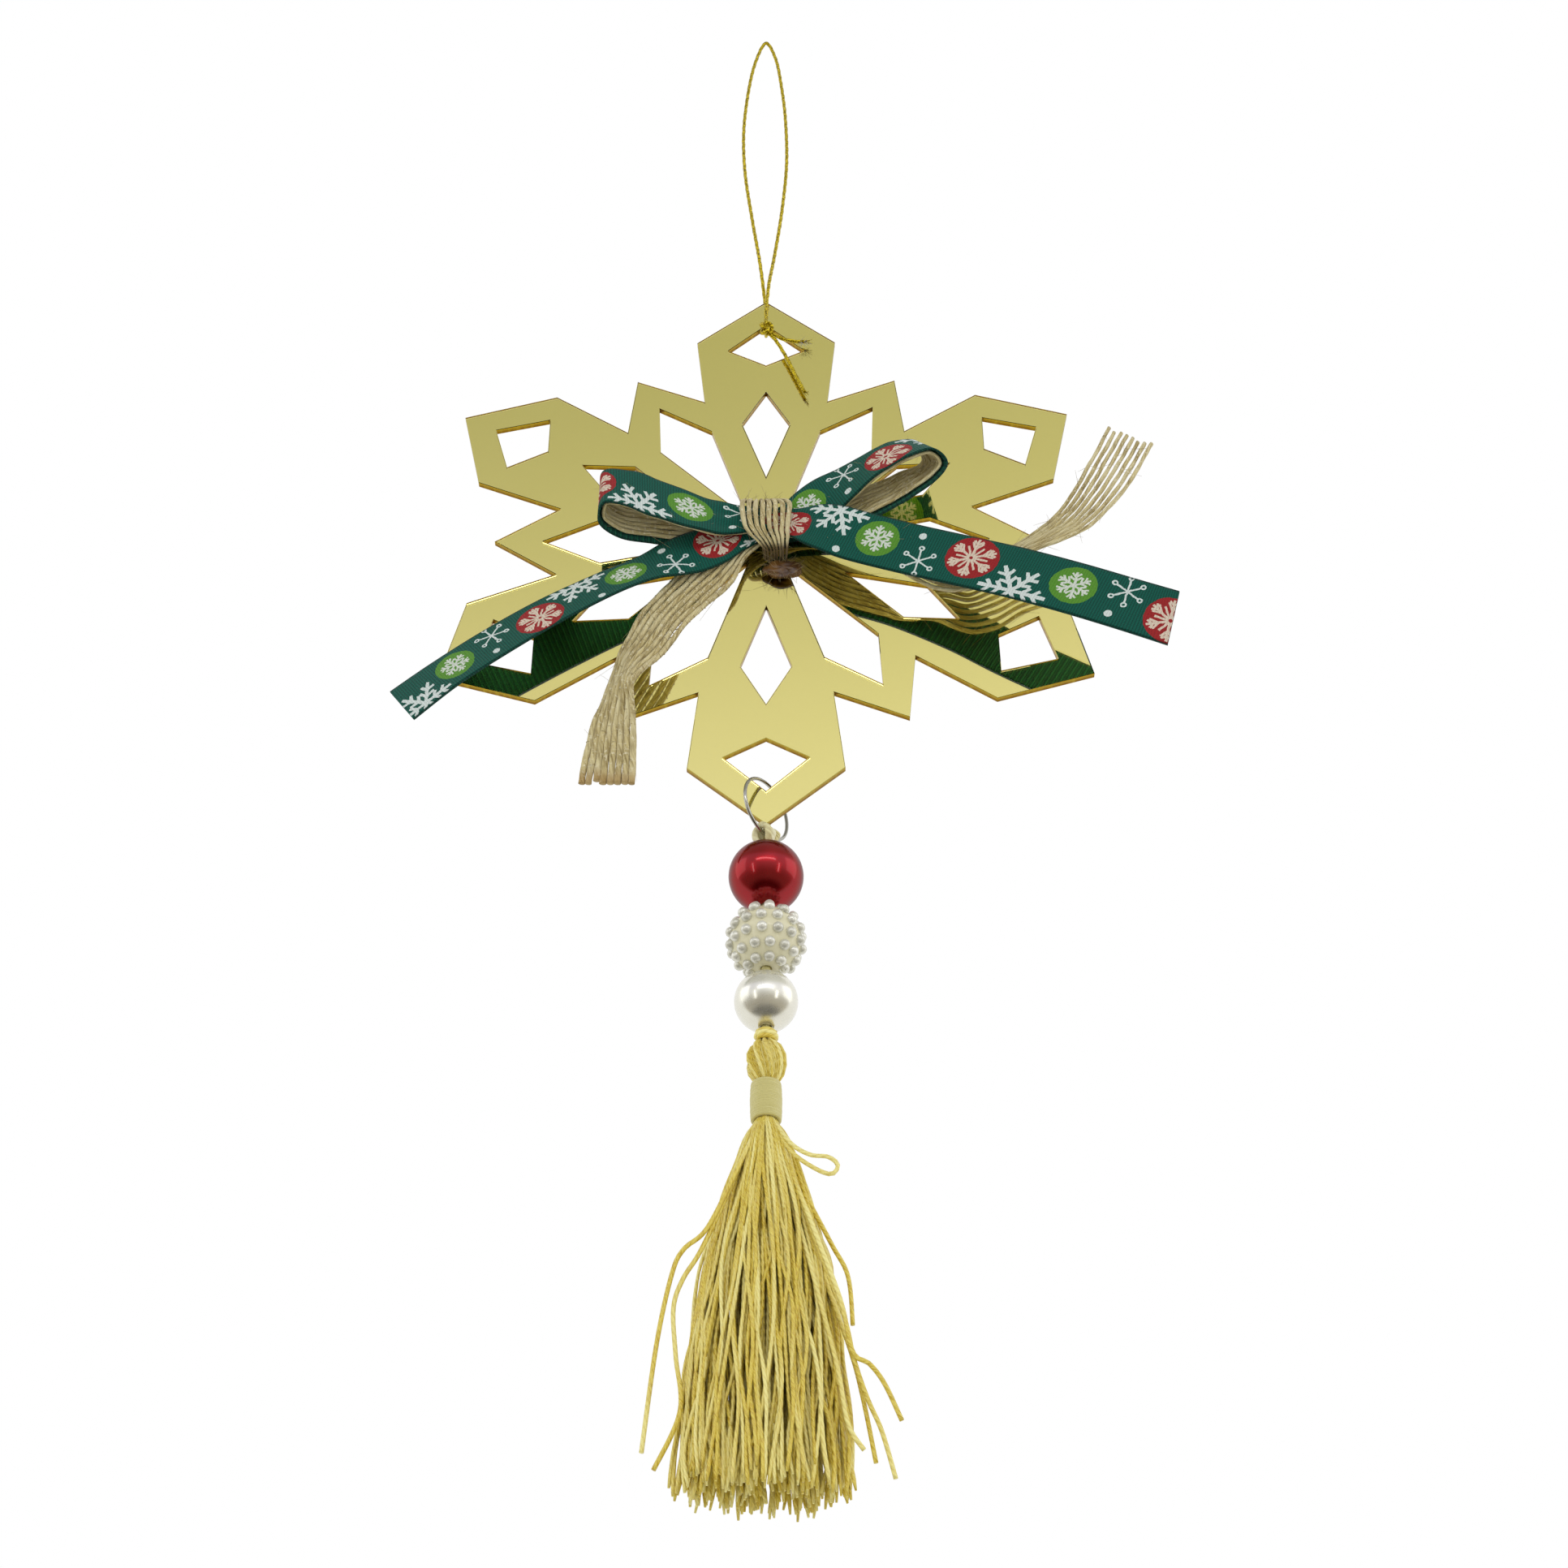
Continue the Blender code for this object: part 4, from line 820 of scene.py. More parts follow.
def jute_yarn(name, painted_foot_shadow=False):
    """Bast fibre: pale and dark streaks along each yarn and painted shade between its plies. It is brown at
    its end, or else, with a painted foot shadow, dark brown close to the plate, a painted shadow under the
    bow.
    """
    surface = Surface(name, {
        "Roughness": 0.86, "Sheen Weight": 0.15, "Sheen Roughness": 0.5, "Specular IOR Level": 0.2,
    })
    length, turn = surface.flat()
    island = surface.island()
    wound = turn + length * 0.9
    streak = surface.noise((length, wound, island), 3.0, (4.0, 9.0, 60.0))
    fleck = surface.noise((length, turn, island), 2.0, (22.0, 5.0, 31.0))
    cloud = surface.noise((length, island), 2.0, (1.6, 37.0))
    ply = (wound * (4 * math.pi)).sin()
    colour = surface.mix(streak.ramp(0.30, 0.66), (0.30, 0.225, 0.085), (0.64, 0.545, 0.27))
    colour = surface.mix(cloud.ramp(0.40, 0.75) * 0.7, colour, (0.76, 0.69, 0.42))
    colour = surface.mix(fleck.ramp(0.57, 0.68) * 0.60, colour, (0.80, 0.75, 0.54))
    # Painted shade: a little darker in the grooves between the plies.
    colour = surface.mix(ply.ramp(-1.0, -0.4, 1.0, 0.0) * 0.10, colour, (0.20, 0.14, 0.05))
    if painted_foot_shadow:
        # Painted shadow: the yarn turns dark brown close to the plate, where the bow overhangs it.
        _x, y, _z = surface.place()
        colour = surface.mix(y.ramp(-5.0, -3.7) * 0.88, colour, (0.110, 0.060, 0.012))
    else:
        colour = surface.mix(length.ramp(0.02, 0.30, 0.6, 0.0), colour, (0.36, 0.21, 0.06))
    surface.link("Base Color", colour)
    surface.bump(streak * 0.9 + ply * 0.10 + fleck * 0.7, 0.00016, 0.8)
    return surface.material


def metallic_cord():
    surface = Surface("gold metallic cord", {"Metallic": 0.9})
    length, turn = surface.flat()
    grain = surface.noise((length, turn), 2.0, (30.0, 5.0))
    cross = (length * 10.0 * (TURN / 0.42) + turn * (6 * math.pi)).sin()
    surface.link("Base Color", surface.mix(grain.ramp(0.3, 0.7), (0.17, 0.115, 0.002), (0.84, 0.66, 0.030)))
    surface.link("Roughness", grain.ramp(0.2, 0.8, 0.22, 0.48))
    surface.bump(cross * 0.5 + grain, 0.00006, 0.7)
    return surface.material


def satin(name, dark, middle, light):
    """Bright rayon thread: fine filaments along the strand, a tone of its own for each strand, and painted
    shade in the grooves of its twist.
    """
    surface = Surface(name, {
        "Sheen Weight": 0.12, "Sheen Roughness": 0.35, "Sheen Tint": (1.0, 0.95, 0.70, 1.0),
        "Specular IOR Level": 0.6,
    })
    length, turn = surface.flat()
    island = surface.island()
    wound = turn + length * 4.0
    filament = surface.noise((length, wound, island), 2.0, (1.6, 9.0, 50.0))
    tone = surface.noise((length, island), 1.0, (0.35, 71.0))
    ply = (wound * (4 * math.pi)).sin()
    colour = surface.mix(filament.ramp(0.30, 0.58), dark, middle)
    colour = surface.mix(tone.ramp(0.40, 0.66), colour, light)
    # Painted shade: darker in the grooves between the plies of the twist.
    surface.link("Base Color", surface.mix(ply.ramp(-1.0, -0.2, 1.0, 0.0) * 0.30, colour, dark))
    surface.link("Roughness", filament.ramp(0.3, 0.7, 0.30, 0.46))
    surface.bump(filament * 0.6 + ply * 0.5, 0.00010, 0.8)
    return surface.material


def winding():
    """Fine thread wound round and round: one ridge for each turn, with painted shade between the turns."""
    surface = Surface("gold winding thread", {"Sheen Weight": 0.12, "Specular IOR Level": 0.5})
    length, turn = surface.flat()
    ridge = (length * 10.0 * (TURN / 0.25)).sin()
    filament = surface.noise((length, turn), 2.0, (60.0, 4.0))
    # Painted shade: darker between each two turns, lighter on their crests.
    colour = surface.mix(ridge.ramp(-1.0, 0.2), (0.46, 0.40, 0.115), (0.62, 0.56, 0.21))
    surface.link("Base Color", surface.mix(filament.ramp(0.55, 0.75) * 0.5, colour, (0.74, 0.69, 0.34)))
    surface.link("Roughness", filament.ramp(0.3, 0.7, 0.34, 0.5))
    surface.bump(ridge * 0.3 + filament * 0.4, 0.00004, 0.4)
    return surface.material


def clear_front():
    """Polished clear sheet, tinted a little, which the mirror behind shows through."""
    surface = Surface("clear gold acrylic", {
        "Base Color": (1.0, 0.97, 0.84, 1.0), "Roughness": 0.0, "Transmission Weight": 1.0, "IOR": 1.49,
    })
    x, _y, z = surface.place()
    surface.bump(surface.noise((x, z), 3.0, 0.05), 0.0002, 0.12)
    return surface.material


def mirror_back():
    surface = Surface("gold mirror layer", {"Roughness": 0.02, "Metallic": 1.0})
    x, _y, z = surface.place()
    cloud = surface.noise((x, z), 2.0, 0.03)
    surface.link("Base Color", surface.mix(cloud, (0.85, 0.785, 0.275), (0.88, 0.81, 0.305)))
    return surface.material


def cut_edge():
    """Laser-cut wall of the acrylic: bright amber, with fine lines across its thickness."""
    surface = Surface("amber cut edge", {"Roughness": 0.24, "Metallic": 0.85, "Specular IOR Level": 0.12})
    x, y, z = surface.place()
    lines = surface.noise((x, z, y), 1.0, (1.1, 1.1, 0.2))
    colour = surface.mix(y.ramp(-0.45, 0.35), (0.44, 0.285, 0.010), (0.24, 0.118, 0.004))
    surface.link("Base Color", surface.mix(lines.ramp(0.45, 0.85) * 0.5, colour, (0.56, 0.42, 0.022)))
    surface.bump(lines, 0.00004, 0.3)
    return surface.material


def backing_paint():
    surface = Surface("grey backing paint", {})
    x, _y, z = surface.place()
    grain = surface.noise((x, z), 4.0, 0.9)
    rubbed = surface.noise((x, z), 3.0, (0.06, 0.5))
    colour = surface.mix(grain, (0.27, 0.26, 0.235), (0.38, 0.37, 0.335))
    surface.link("Base Color", surface.mix(rubbed.ramp(0.62, 0.74), colour, (0.47, 0.46, 0.42)))
    surface.link("Roughness", grain.ramp(0.3, 0.7, 0.42, 0.6))
    surface.bump(grain, 0.00003, 0.5)
    return surface.material


def red_pearl():
    surface = Surface("red pearl", {
        "Metallic": 0.92, "Specular Tint": (0.30, 0.10, 0.10, 1.0),
        "Coat Weight": 0.55, "Coat Roughness": 0.03,
    })
    cloud = surface.noise(surface.place(), 3.0, 0.35)
    surface.link("Base Color", surface.mix(cloud, (0.27, 0.003, 0.006), (0.35, 0.007, 0.012)))
    surface.link("Roughness", cloud.ramp(0.3, 0.7, 0.21, 0.28))
    return surface.material


def pearl(name, low, high, metallic, gloss, knobs=False):
    surface = Surface(name, {"Metallic": metallic, "Coat Weight": 0.4, "Coat Roughness": 0.06})
    place = surface.place()
    cloud = surface.island() if knobs else surface.noise(place, 2.0, 0.4)
    surface.link("Base Color", surface.mix(cloud, low, high))
    surface.link("Roughness", surface.noise(place, 1.0, 0.6).ramp(0.3, 0.7, gloss, gloss + 0.1))
    return surface.material


def bright_wire():
    surface = Surface("silver wire", {"Metallic": 1.0})
    lines = surface.noise(surface.flat(), 3.0, (1.5, 9.0))
    surface.link("Roughness", lines.ramp(0.3, 0.7, 0.14, 0.32))
    surface.link("Base Color", surface.mix(lines, (0.32, 0.31, 0.26), (0.52, 0.51, 0.46)))
    return surface.material


def set_glue():
    surface = Surface("brown glue", {"Roughness": 0.42, "Coat Weight": 0.12})
    cloud = surface.noise(surface.place(), 4.0, 0.8)
    colour = surface.mix(cloud.ramp(0.3, 0.7), (0.050, 0.017, 0.002), (0.155, 0.070, 0.008))
    surface.link("Base Color", colour)
    surface.bump(cloud, 0.0002, 0.6)
    return surface.material


def pale_floor():
    surface = Surface("pale floor", {"Roughness": 0.6})
    x, y, _z = surface.place()
    cloud = surface.noise((x, y), 3.0, 0.004)
    surface.link("Base Color", surface.mix(cloud, (0.81, 0.81, 0.80), (0.86, 0.86, 0.85)))
    return surface.material


def make_camera():
    data = bpy.data.cameras.new("camera")
    data.sensor_width = SENSOR_WIDTH
    data.lens = CAMERA_LENS
    data.clip_start = 0.01
    camera = bpy.data.objects.new("camera", data)
    matrix = Matrix([Vector(axis).normalized() for axis in CAMERA_AXES]).transposed().to_4x4()
    matrix.translation = CAMERA_PLACE
    camera.matrix_world = matrix
    bpy.context.scene.collection.objects.link(camera)
    bpy.context.scene.camera = camera


def knot_centre():
    """Knot in front of the top window's upper corner."""
    return 0.0, ARM_TIP - HEAD_TO_TIP - KNOT_BELOW_CORNER, GAP + KNOT_WIDTH / 2


def loop_route():
    """Points of the loop, as in its solid: up from the knot, over the nail and down behind."""
    radius = CORD_DIAMETER / 2
    stand = GAP + radius
    behind = -(PLATE_THICKNESS + stand)
    x, y, height = knot_centre()
    knot_top = y + KNOT_LENGTH / 2 + GAP
    half_bend = CORD_BEND * (1.0 - math.sqrt(0.5))
    corner = ARM_TIP - HEAD_TO_TIP
    through = corner - CORD_PASSES_BELOW_CORNER
    top = -PLATE_CENTRE_Z
    middle = -PLATE_THICKNESS / 2
    route = [
        (x, knot_top, height),
        (x, knot_top + CORD_LANDS_ABOVE_KNOT, stand + CORD_LANDING_LIFT),
        (x, ARM_TIP - FRONT_STRAND_BELOW_TIP, stand),
    ]
    route += [(px * MM, ARM_TIP + py * MM, stand * STRAND_OFF_TIP) for px, py in LOOP_RIGHT[:2]]
    route += [(px * MM, ARM_TIP + py * MM, middle) for px, py in LOOP_RIGHT[2:]]
    route.append((0.0, top + radius, middle))
    route += [(px * MM, ARM_TIP + py * MM, middle) for px, py in LOOP_LEFT[:-1]]
    route += [
        (LOOP_LEFT[-1][0] * MM, ARM_TIP + LOOP_LEFT[-1][1] * MM, behind * STRAND_OFF_TIP),
        (x, ARM_TIP - BACK_STRAND_BELOW_TIP, behind),
        (x, corner + BACK_STRAND_ABOVE_CORNER, behind),
        (x, through + CORD_BEND, behind),
        (x, through + half_bend, behind + half_bend),
        (x, through, behind + CORD_BEND),
        (x, through, height - KNOT_WIDTH / 2 - GAP),
    ]
    return to_world(resampled(catmull_rom(route, 16), CORD_STEP))


def make_hanging_cord(material, fibre):
    path = loop_route()
    build = Build()
    add_tube(build, path, CORD_DIAMETER / 2, 12, CORD_LAY)
    cord = build.finish("gold_hanging_cord", [material], "gold_cord", "hanging_cord")

    knot = Build()
    x, y, height = knot_centre()
    turns = np.linspace(0.0, TURN, 120, endpoint=False)
    size = (KNOT_WIDTH - CORD_DIAMETER) / 2 / 3.0
    for share, start in ((1.0, 0.0), (0.52, 0.5)):
        reach = size * share * (2.0 + np.cos(3 * turns))
        trefoil = np.stack([
            x + reach * np.cos(2 * turns + start),
            y + reach * 1.35 * np.sin(2 * turns + start),
            height + size * 1.6 * share * np.sin(3 * turns),
        ], axis=1)
        closed = to_world(np.concatenate([trefoil, trefoil[:1]]))
        add_tube(knot, closed, CORD_DIAMETER * 0.52, 10, KNOT_LAY)
    ends = []
    for tail in KNOT_TAILS:
        rows = [(x, y, height)] + [(x + px * MM, y + py * MM, height + ph * MM) for px, py, ph in tail]
        points = to_world(resampled(catmull_rom(rows, 12), CORD_STEP))
        add_tube(knot, points, CORD_DIAMETER / 2, 12, CORD_LAY)
        ends.append((points[-1], unit(points[-1] - points[-4])))
    for end, way in ends:
        roots = [end + random_vector() * 0.0002 for _hair in range(FRAY_HAIRS)]
        add_hairs(knot, roots, [way] * len(roots), 0.0016, 0.00005)
    root, way = ends[0]
    roots = [root - way * dice.uniform(0.0, 0.001) for _hair in range(TUFT_HAIRS)]
    add_hairs(knot, roots, [np.array((0.2, -0.2, -0.8))] * len(roots), 0.0022, 0.00004, 1)
    knot_piece = knot.finish("gold_cord_knot", [material, fibre], "gold_cord", "hanging_cord_knot")


def polar(along, out, angle):
    """Point at a distance along an axis at an angle, and out to its left."""
    c, s = math.cos(angle), math.sin(angle)
    return (along * c - out * s, along * s + out * c)


def kite(near, wide_at, out, far, angle):
    corners = ((near, 0.0), (wide_at, -out), (far, 0.0), (wide_at, out))
    return [polar(along, side, angle) for along, side in corners]


def plate_outlines():
    """Outer outline and windows, each counter-clockwise as seen from the front."""
    step = TURN / ARM_COUNT
    outline, windows = [], []
    for index in range(ARM_COUNT):
        arm = math.pi / 2 + index * step
        spur = arm + step / 2
        outline += [
            polar(ARM_ROOT_ALONG, -ARM_ROOT_OUT, arm),
            polar(ARM_SHOULDER_ALONG, -ARM_SHOULDER_OUT, arm),
            polar(ARM_TIP, 0.0, arm),
            polar(ARM_SHOULDER_ALONG, ARM_SHOULDER_OUT, arm),
            polar(ARM_ROOT_ALONG, ARM_ROOT_OUT, arm),
            polar(SPUR_TIP, 0.0, spur),
        ]
        windows += [
            kite(ARM_KITE_NEAR, ARM_KITE_WIDE_AT, ARM_KITE_OUT, ARM_KITE_FAR, arm),
            kite(HEAD_NEAR, HEAD_WIDE_AT, HEAD_OUT, ARM_TIP - HEAD_TO_TIP, arm),
            kite(SPUR_KITE_NEAR, SPUR_KITE_WIDE_AT, SPUR_KITE_OUT, SPUR_TIP - SPUR_KITE_TO_TIP, spur),
        ]
    return outline, windows


def moved_in(corners, distance):
    """Outline moved to its left, which is inwards where it runs counter-clockwise."""
    points = np.array(corners)
    after = unit(np.roll(points, -1, axis=0) - points)
    before = np.roll(after, 1, axis=0)
    left_after = np.stack([-after[:, 1], after[:, 0]], axis=1)
    left_before = np.stack([-before[:, 1], before[:, 0]], axis=1)
    miter = (left_after + left_before) / (1.0 + (left_after * left_before).sum(axis=1, keepdims=True))
    return points + miter * distance


def add_sheet_slab(build, top, bottom, chamfer, slots):
    """Flat sheet in the plate's outline, from the height of its front to that of its back."""
    outline, windows = plate_outlines()
    loops = [(outline, chamfer)] + [(window, -chamfer) for window in windows]
    caps = []
    for height, inset in ((top, True), (bottom, False)):
        rings = [moved_in(loop, move) if inset else np.array(loop) for loop, move in loops]
        triangles = geometry.tessellate_polygon([[Vector((x, y, 0.0)) for x, y in ring] for ring in rings])
        points = np.concatenate(rings)
        start = build.add_verts(to_world(np.column_stack([points, np.full(len(points), height)])))
        faces = []
        for triangle in triangles:
            a, b, c = (points[index] for index in triangle)
            counter = (b[0] - a[0]) * (c[1] - a[1]) - (b[1] - a[1]) * (c[0] - a[0]) > 0
            ordered = triangle if counter == inset else triangle[::-1]
            faces.append([start + index for index in ordered])
        build.add_faces(faces, slot=slots[0] if inset else slots[2])
        caps.append(start)
    rim = np.concatenate([np.array(loop) for loop, _move in loops])
    middle = build.add_verts(to_world(np.column_stack([rim, np.full(len(rim), top - chamfer)])))
    offset = 0
    for number, (loop, _move) in enumerate(loops):
        here = offset + np.arange(len(loop))
        after = np.roll(here, -1)
        for upper, lower, slot in ((caps[0], middle, slots[0]), (middle, caps[1], slots[1])):
            faces = np.stack([upper + here, lower + here, lower + after, upper + after], axis=-1)
            build.add_faces(faces if number == 0 else faces[:, ::-1], slot=slot)
        offset += len(loop)


def make_plate(front, mirror, edge, paint):
    build = Build()
    add_sheet_slab(build, 0.0, -CLEAR_DEPTH, EDGE_CHAMFER, (0, 1, 2))
    build.finish("mirror_acrylic_plate", [front, edge, mirror], "mirror_gold", "snowflake_plate", False)
    backing = Build()
    add_sheet_slab(backing, -CLEAR_DEPTH - PAINT_GAP, -PLATE_THICKNESS, PAINT_GAP, (0, 1, 0))
    backing.finish("plate_backing", [paint, edge], "mirror_gold", "snowflake_plate", False)


def make_ribbon(print_material, back_material):
    """Printed strip through the bow and both tails, gathered into pleats beside the tie."""
    rows = ribbon_rows()
    centres, across, normal, share = strip_frames(rows)
    lengths = lengths_along(centres)
    phase = np.interp(lengths / MM, *np.array(PRINT_PLACES).T)
    edges = np.linspace(-0.5, 0.5, RIBBON_COLUMNS + 1)
    gather = np.clip(1.0 - rows[:, 5], 0.0, FULL_GATHER) / FULL_GATHER
    pleats = np.cos(edges[None, :] * 5.0 * math.pi + 0.6) * gather[:, None]
    beside_tie = np.clip((np.abs(centres[:, 0]) - TIE_WIDTH / 2 + 0.00015) / 0.003, 0.0, 1.0)[:, None]
    lift = pleats * PLEAT_DEPTH * beside_tie * 0.5
    reach = (edges * RIBBON_WIDTH)[None, :, None] * share[:, None, None]
    grid = centres[:, None, :] + across[:, None, :] * reach + normal[:, None, :] * lift[..., None]
    half = normal[:, None, :] * (RIBBON_THICKNESS / 2)
    build = Build()
    front = build.add_verts(to_world(grid + half))
    back = build.add_verts(to_world(grid - half))
    flat = np.meshgrid(lengths * TO_TEXTURE, edges * RIBBON_WIDTH * TO_TEXTURE, indexing="ij")
    flat = np.stack(flat, axis=-1).reshape(-1, 2)
    motifs = np.column_stack([np.repeat(phase, len(edges)), flat[:, 1]])
    quads = grid_quads(len(rows), len(edges), columns_close=False)[0]
    for side, (start, order) in enumerate(((front, [0, 3, 2, 1]), (back, [1, 2, 3, 0]))):
        corners = quads[:, order]
        build.add_faces(start + corners, flat[corners], side, motifs[corners])
    ids = np.arange(len(flat)).reshape(len(rows), -1)
    rim = np.concatenate([ids[:, 0], ids[-1, 1:], ids[-2::-1, -1], ids[0, -2:0:-1]])
    after = np.roll(rim, -1)
    faces = np.stack([front + after, front + rim, back + rim, back + after], axis=-1)
    build.add_faces(faces, flat[np.stack([after, rim, rim, after], axis=-1)], 1)
    ribbon = build.finish("printed_bow_ribbon", [print_material, back_material], "green_grosgrain",
                          "printed_ribbon", layers=("length", "print"))


def yarn_grid(rows, offset, half_wide, half_thick, seed, sides=10):
    """Section points of one yarn that lies at an offset across a strip, flattened with the strip."""
    centres, across, normal, share = strip_frames(rows)
    lengths = lengths_along(centres)
    angles = np.linspace(0.0, TURN, sides, endpoint=False)
    shift = offset * share + wander(lengths, 0.00006, 0.013, seed)
    rise = wander(lengths, 0.00004, 0.009, seed + 50)
    swell = 1.0 + wander(lengths, 0.06, 0.006, seed + 90)
    turn = TURN * lengths[:, None] / YARN_PITCH + seed
    lobes = 1.0 - 0.05 * (0.5 - 0.5 * np.cos(2 * angles[None, :] - turn))
    wide = (half_wide * share * swell)[:, None] * lobes * np.cos(angles)
    thick = (half_thick * swell)[:, None] * lobes * np.sin(angles)
    middle = centres + across * shift[:, None] + normal * rise[:, None]
    grid = middle[:, None, :] + across[:, None, :] * wide[..., None] + normal[:, None, :] * thick[..., None]
    return to_world(grid), lengths


def pick_fibres(grid, count, least_out, roots, ways):
    """Adds places on a yarn for loose fibres, and the directions in which they leave it."""
    for _hair in range(count):
        row = dice.randrange(3, len(grid) - 3)
        side = dice.randrange(grid.shape[1])
        middle = grid[row].mean(axis=0)
        along = unit(grid[row + 2].mean(axis=0) - middle) * dice.choice((-1.0, 1.0))
        roots.append(grid[row, side])
        ways.append(unit(unit(grid[row, side] - middle) * dice.uniform(least_out, 0.9) + along))


def make_jute(material):
    rows, left_end, right_start = jute_rows()
    lengths = lengths_along(rows[:, :3])
    left_length, right_length = lengths[left_end], lengths[right_start]
    rows = resampled(rows, 0.0005)
    lengths = lengths_along(rows[:, :3])
    left = np.clip((left_length - lengths) / 0.012, 0.0, 1.0)
    right = np.clip((lengths - right_length + 0.004) / 0.022, 0.0, 1.0)
    tip_spread = np.clip((0.022 - lengths) / 0.014, 0.0, 1.0)
    half_wide = YARN_HALF_WIDE + 0.00003 * left + 0.00010 * tip_spread - 0.00010 * right
    half_thick = YARN_HALF_THICK + 0.00013 * left + 0.00005 * right
    build = Build()
    roots, ways = [], []
    for yarn in range(YARN_COUNT):
        offset = (yarn - (YARN_COUNT - 1) / 2) * JUTE_WIDTH / YARN_COUNT
        first = max(int(round(1.0 + YARN_TIP_LENGTHS[yarn] / 1.6)), 0)
        last = len(rows) - max(int(round(YARN_TIP_LENGTHS[-1 - yarn])) + 1, 0)
        kept = slice(first, last)
        grid, own_lengths = yarn_grid(rows[kept], offset, half_wide[kept], half_thick[kept], yarn * 7 + 3)
        add_section_grid(build, grid, own_lengths * TO_TEXTURE)
        pick_fibres(grid, YARN_FIBRES, 0.2, roots, ways)
    centres, across, normal, share = strip_frames(rows)
    spots = np.linspace(-0.5, 0.5, 4 * YARN_COUNT + 1)
    weft_rows = [row for row in range(14, len(rows), 2) if lengths[row] < left_length * 0.96]
    for number, row in enumerate(weft_rows):
        weave = np.sin(spots * TURN * YARN_COUNT / 2 + math.pi * (number % 2)) * WEFT_WEAVE
        slant = (rows[min(row + 1, len(rows) - 1), :3] - rows[row, :3]) * dice.uniform(-1.2, 1.2)
        line = (centres[row] + across[row] * (spots * JUTE_WIDTH * share[row])[:, None]
                + normal[row] * weave[:, None] + slant * spots[:, None])
        add_tube(build, to_world(line), WEFT_RADIUS, 4)
    build.finish("jute_ribbon_yarns", [material], "jute", "jute_ribbon")
    make_fuzz("jute_ribbon_fibres", roots, ways, 0.0034, material)


def make_tie(material, fibre):
    rows = []
    for x, y, rise, share in TIE_ROUTE:
        height = GAP if rise is None else TIE_HEIGHT + rise * MM
        rows.append([x * MM, y * MM, height, 0.0, 0.0, share])
    rows = resampled(catmull_rom(rows, 14), 0.0003)
    pitch = TIE_WIDTH / YARN_COUNT
    half_wide = np.full(len(rows), pitch * 0.40)
    half_thick = np.full(len(rows), 0.00036)
    build = Build()
    roots, ways = [], []
    for yarn in range(YARN_COUNT):
        offset = (yarn - (YARN_COUNT - 1) / 2) * pitch
        grid, lengths = yarn_grid(rows, offset, half_wide, half_thick, yarn * 5 + 11)
        add_section_grid(build, grid, lengths * TO_TEXTURE)
        pick_fibres(grid, TIE_FIBRES, 0.3, roots, ways)
    build.finish("jute_tie_yarns", [material], "jute", "jute_tie")
    make_fuzz("jute_tie_fibres", roots, ways, 0.0026, fibre)


def make_glue(material, fibre):
    """Lump of set glue below the tie, with jute fuzz caught in it."""
    low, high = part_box("glue_spot")
    centre = np.array((low + high) / 2)
    size = np.array(high - low) / 2
    rows, columns = 20, 32
    down = (math.pi * np.arange(1, rows) / rows)[:, None]
    turn = TURN * np.arange(columns) / columns
    ways = ball_ways(down, turn)[..., [0, 2, 1]] * (1.0, -1.0, 1.0)
    lump = 1.0 + 0.09 * np.sin(5 * turn + 3 * down) + 0.07 * np.sin(9 * down + 2 * turn)
    build = Build()
    add_section_grid(build, centre + size * ways * lump[..., None], np.arange(rows - 1) * 0.1)
    build.finish("set_glue", [material], "brown_glue", "glue_spot")
    roots, ways = [], []
    for _hair in range(GLUE_FIBRES):
        turn = dice.uniform(0.0, TURN)
        share = dice.uniform(0.2, 1.05)
        roots.append(centre + size * np.array((math.cos(turn) * share, -0.6, math.sin(turn) * share)))
        ways.append(unit(np.array((math.cos(turn) + dice.uniform(-0.8, 0.8), dice.uniform(-0.15, 0.1),
                                   math.sin(turn) + dice.uniform(-0.8, 0.8)))))
    make_fuzz("glue_fuzz", roots, ways, 0.0026, fibre)


def make_ring(material):
    radius = RING_INNER_RADIUS + RING_WIRE / 2
    angles = RING_OPENING + RING_SPLIT / 2 + (TURN - RING_SPLIT) * np.linspace(0.0, 1.0, 150)
    points = (np.array((0.0, 0.0, RING_CENTRE_Z)) + np.cos(angles)[:, None] * radius * RING_WAY
              + np.sin(angles)[:, None] * radius * np.array((0.0, 0.0, 1.0)))
    radii = np.full(len(points), RING_WIRE / 2)
    radii[:3] *= (0.45, 0.8, 0.97)
    radii[-3:] = radii[:3][::-1]
    build = Build()
    add_tube(build, points, radii, 14)
    build.finish("split_wire_ring", [material], "silver_wire", "wire_ring")


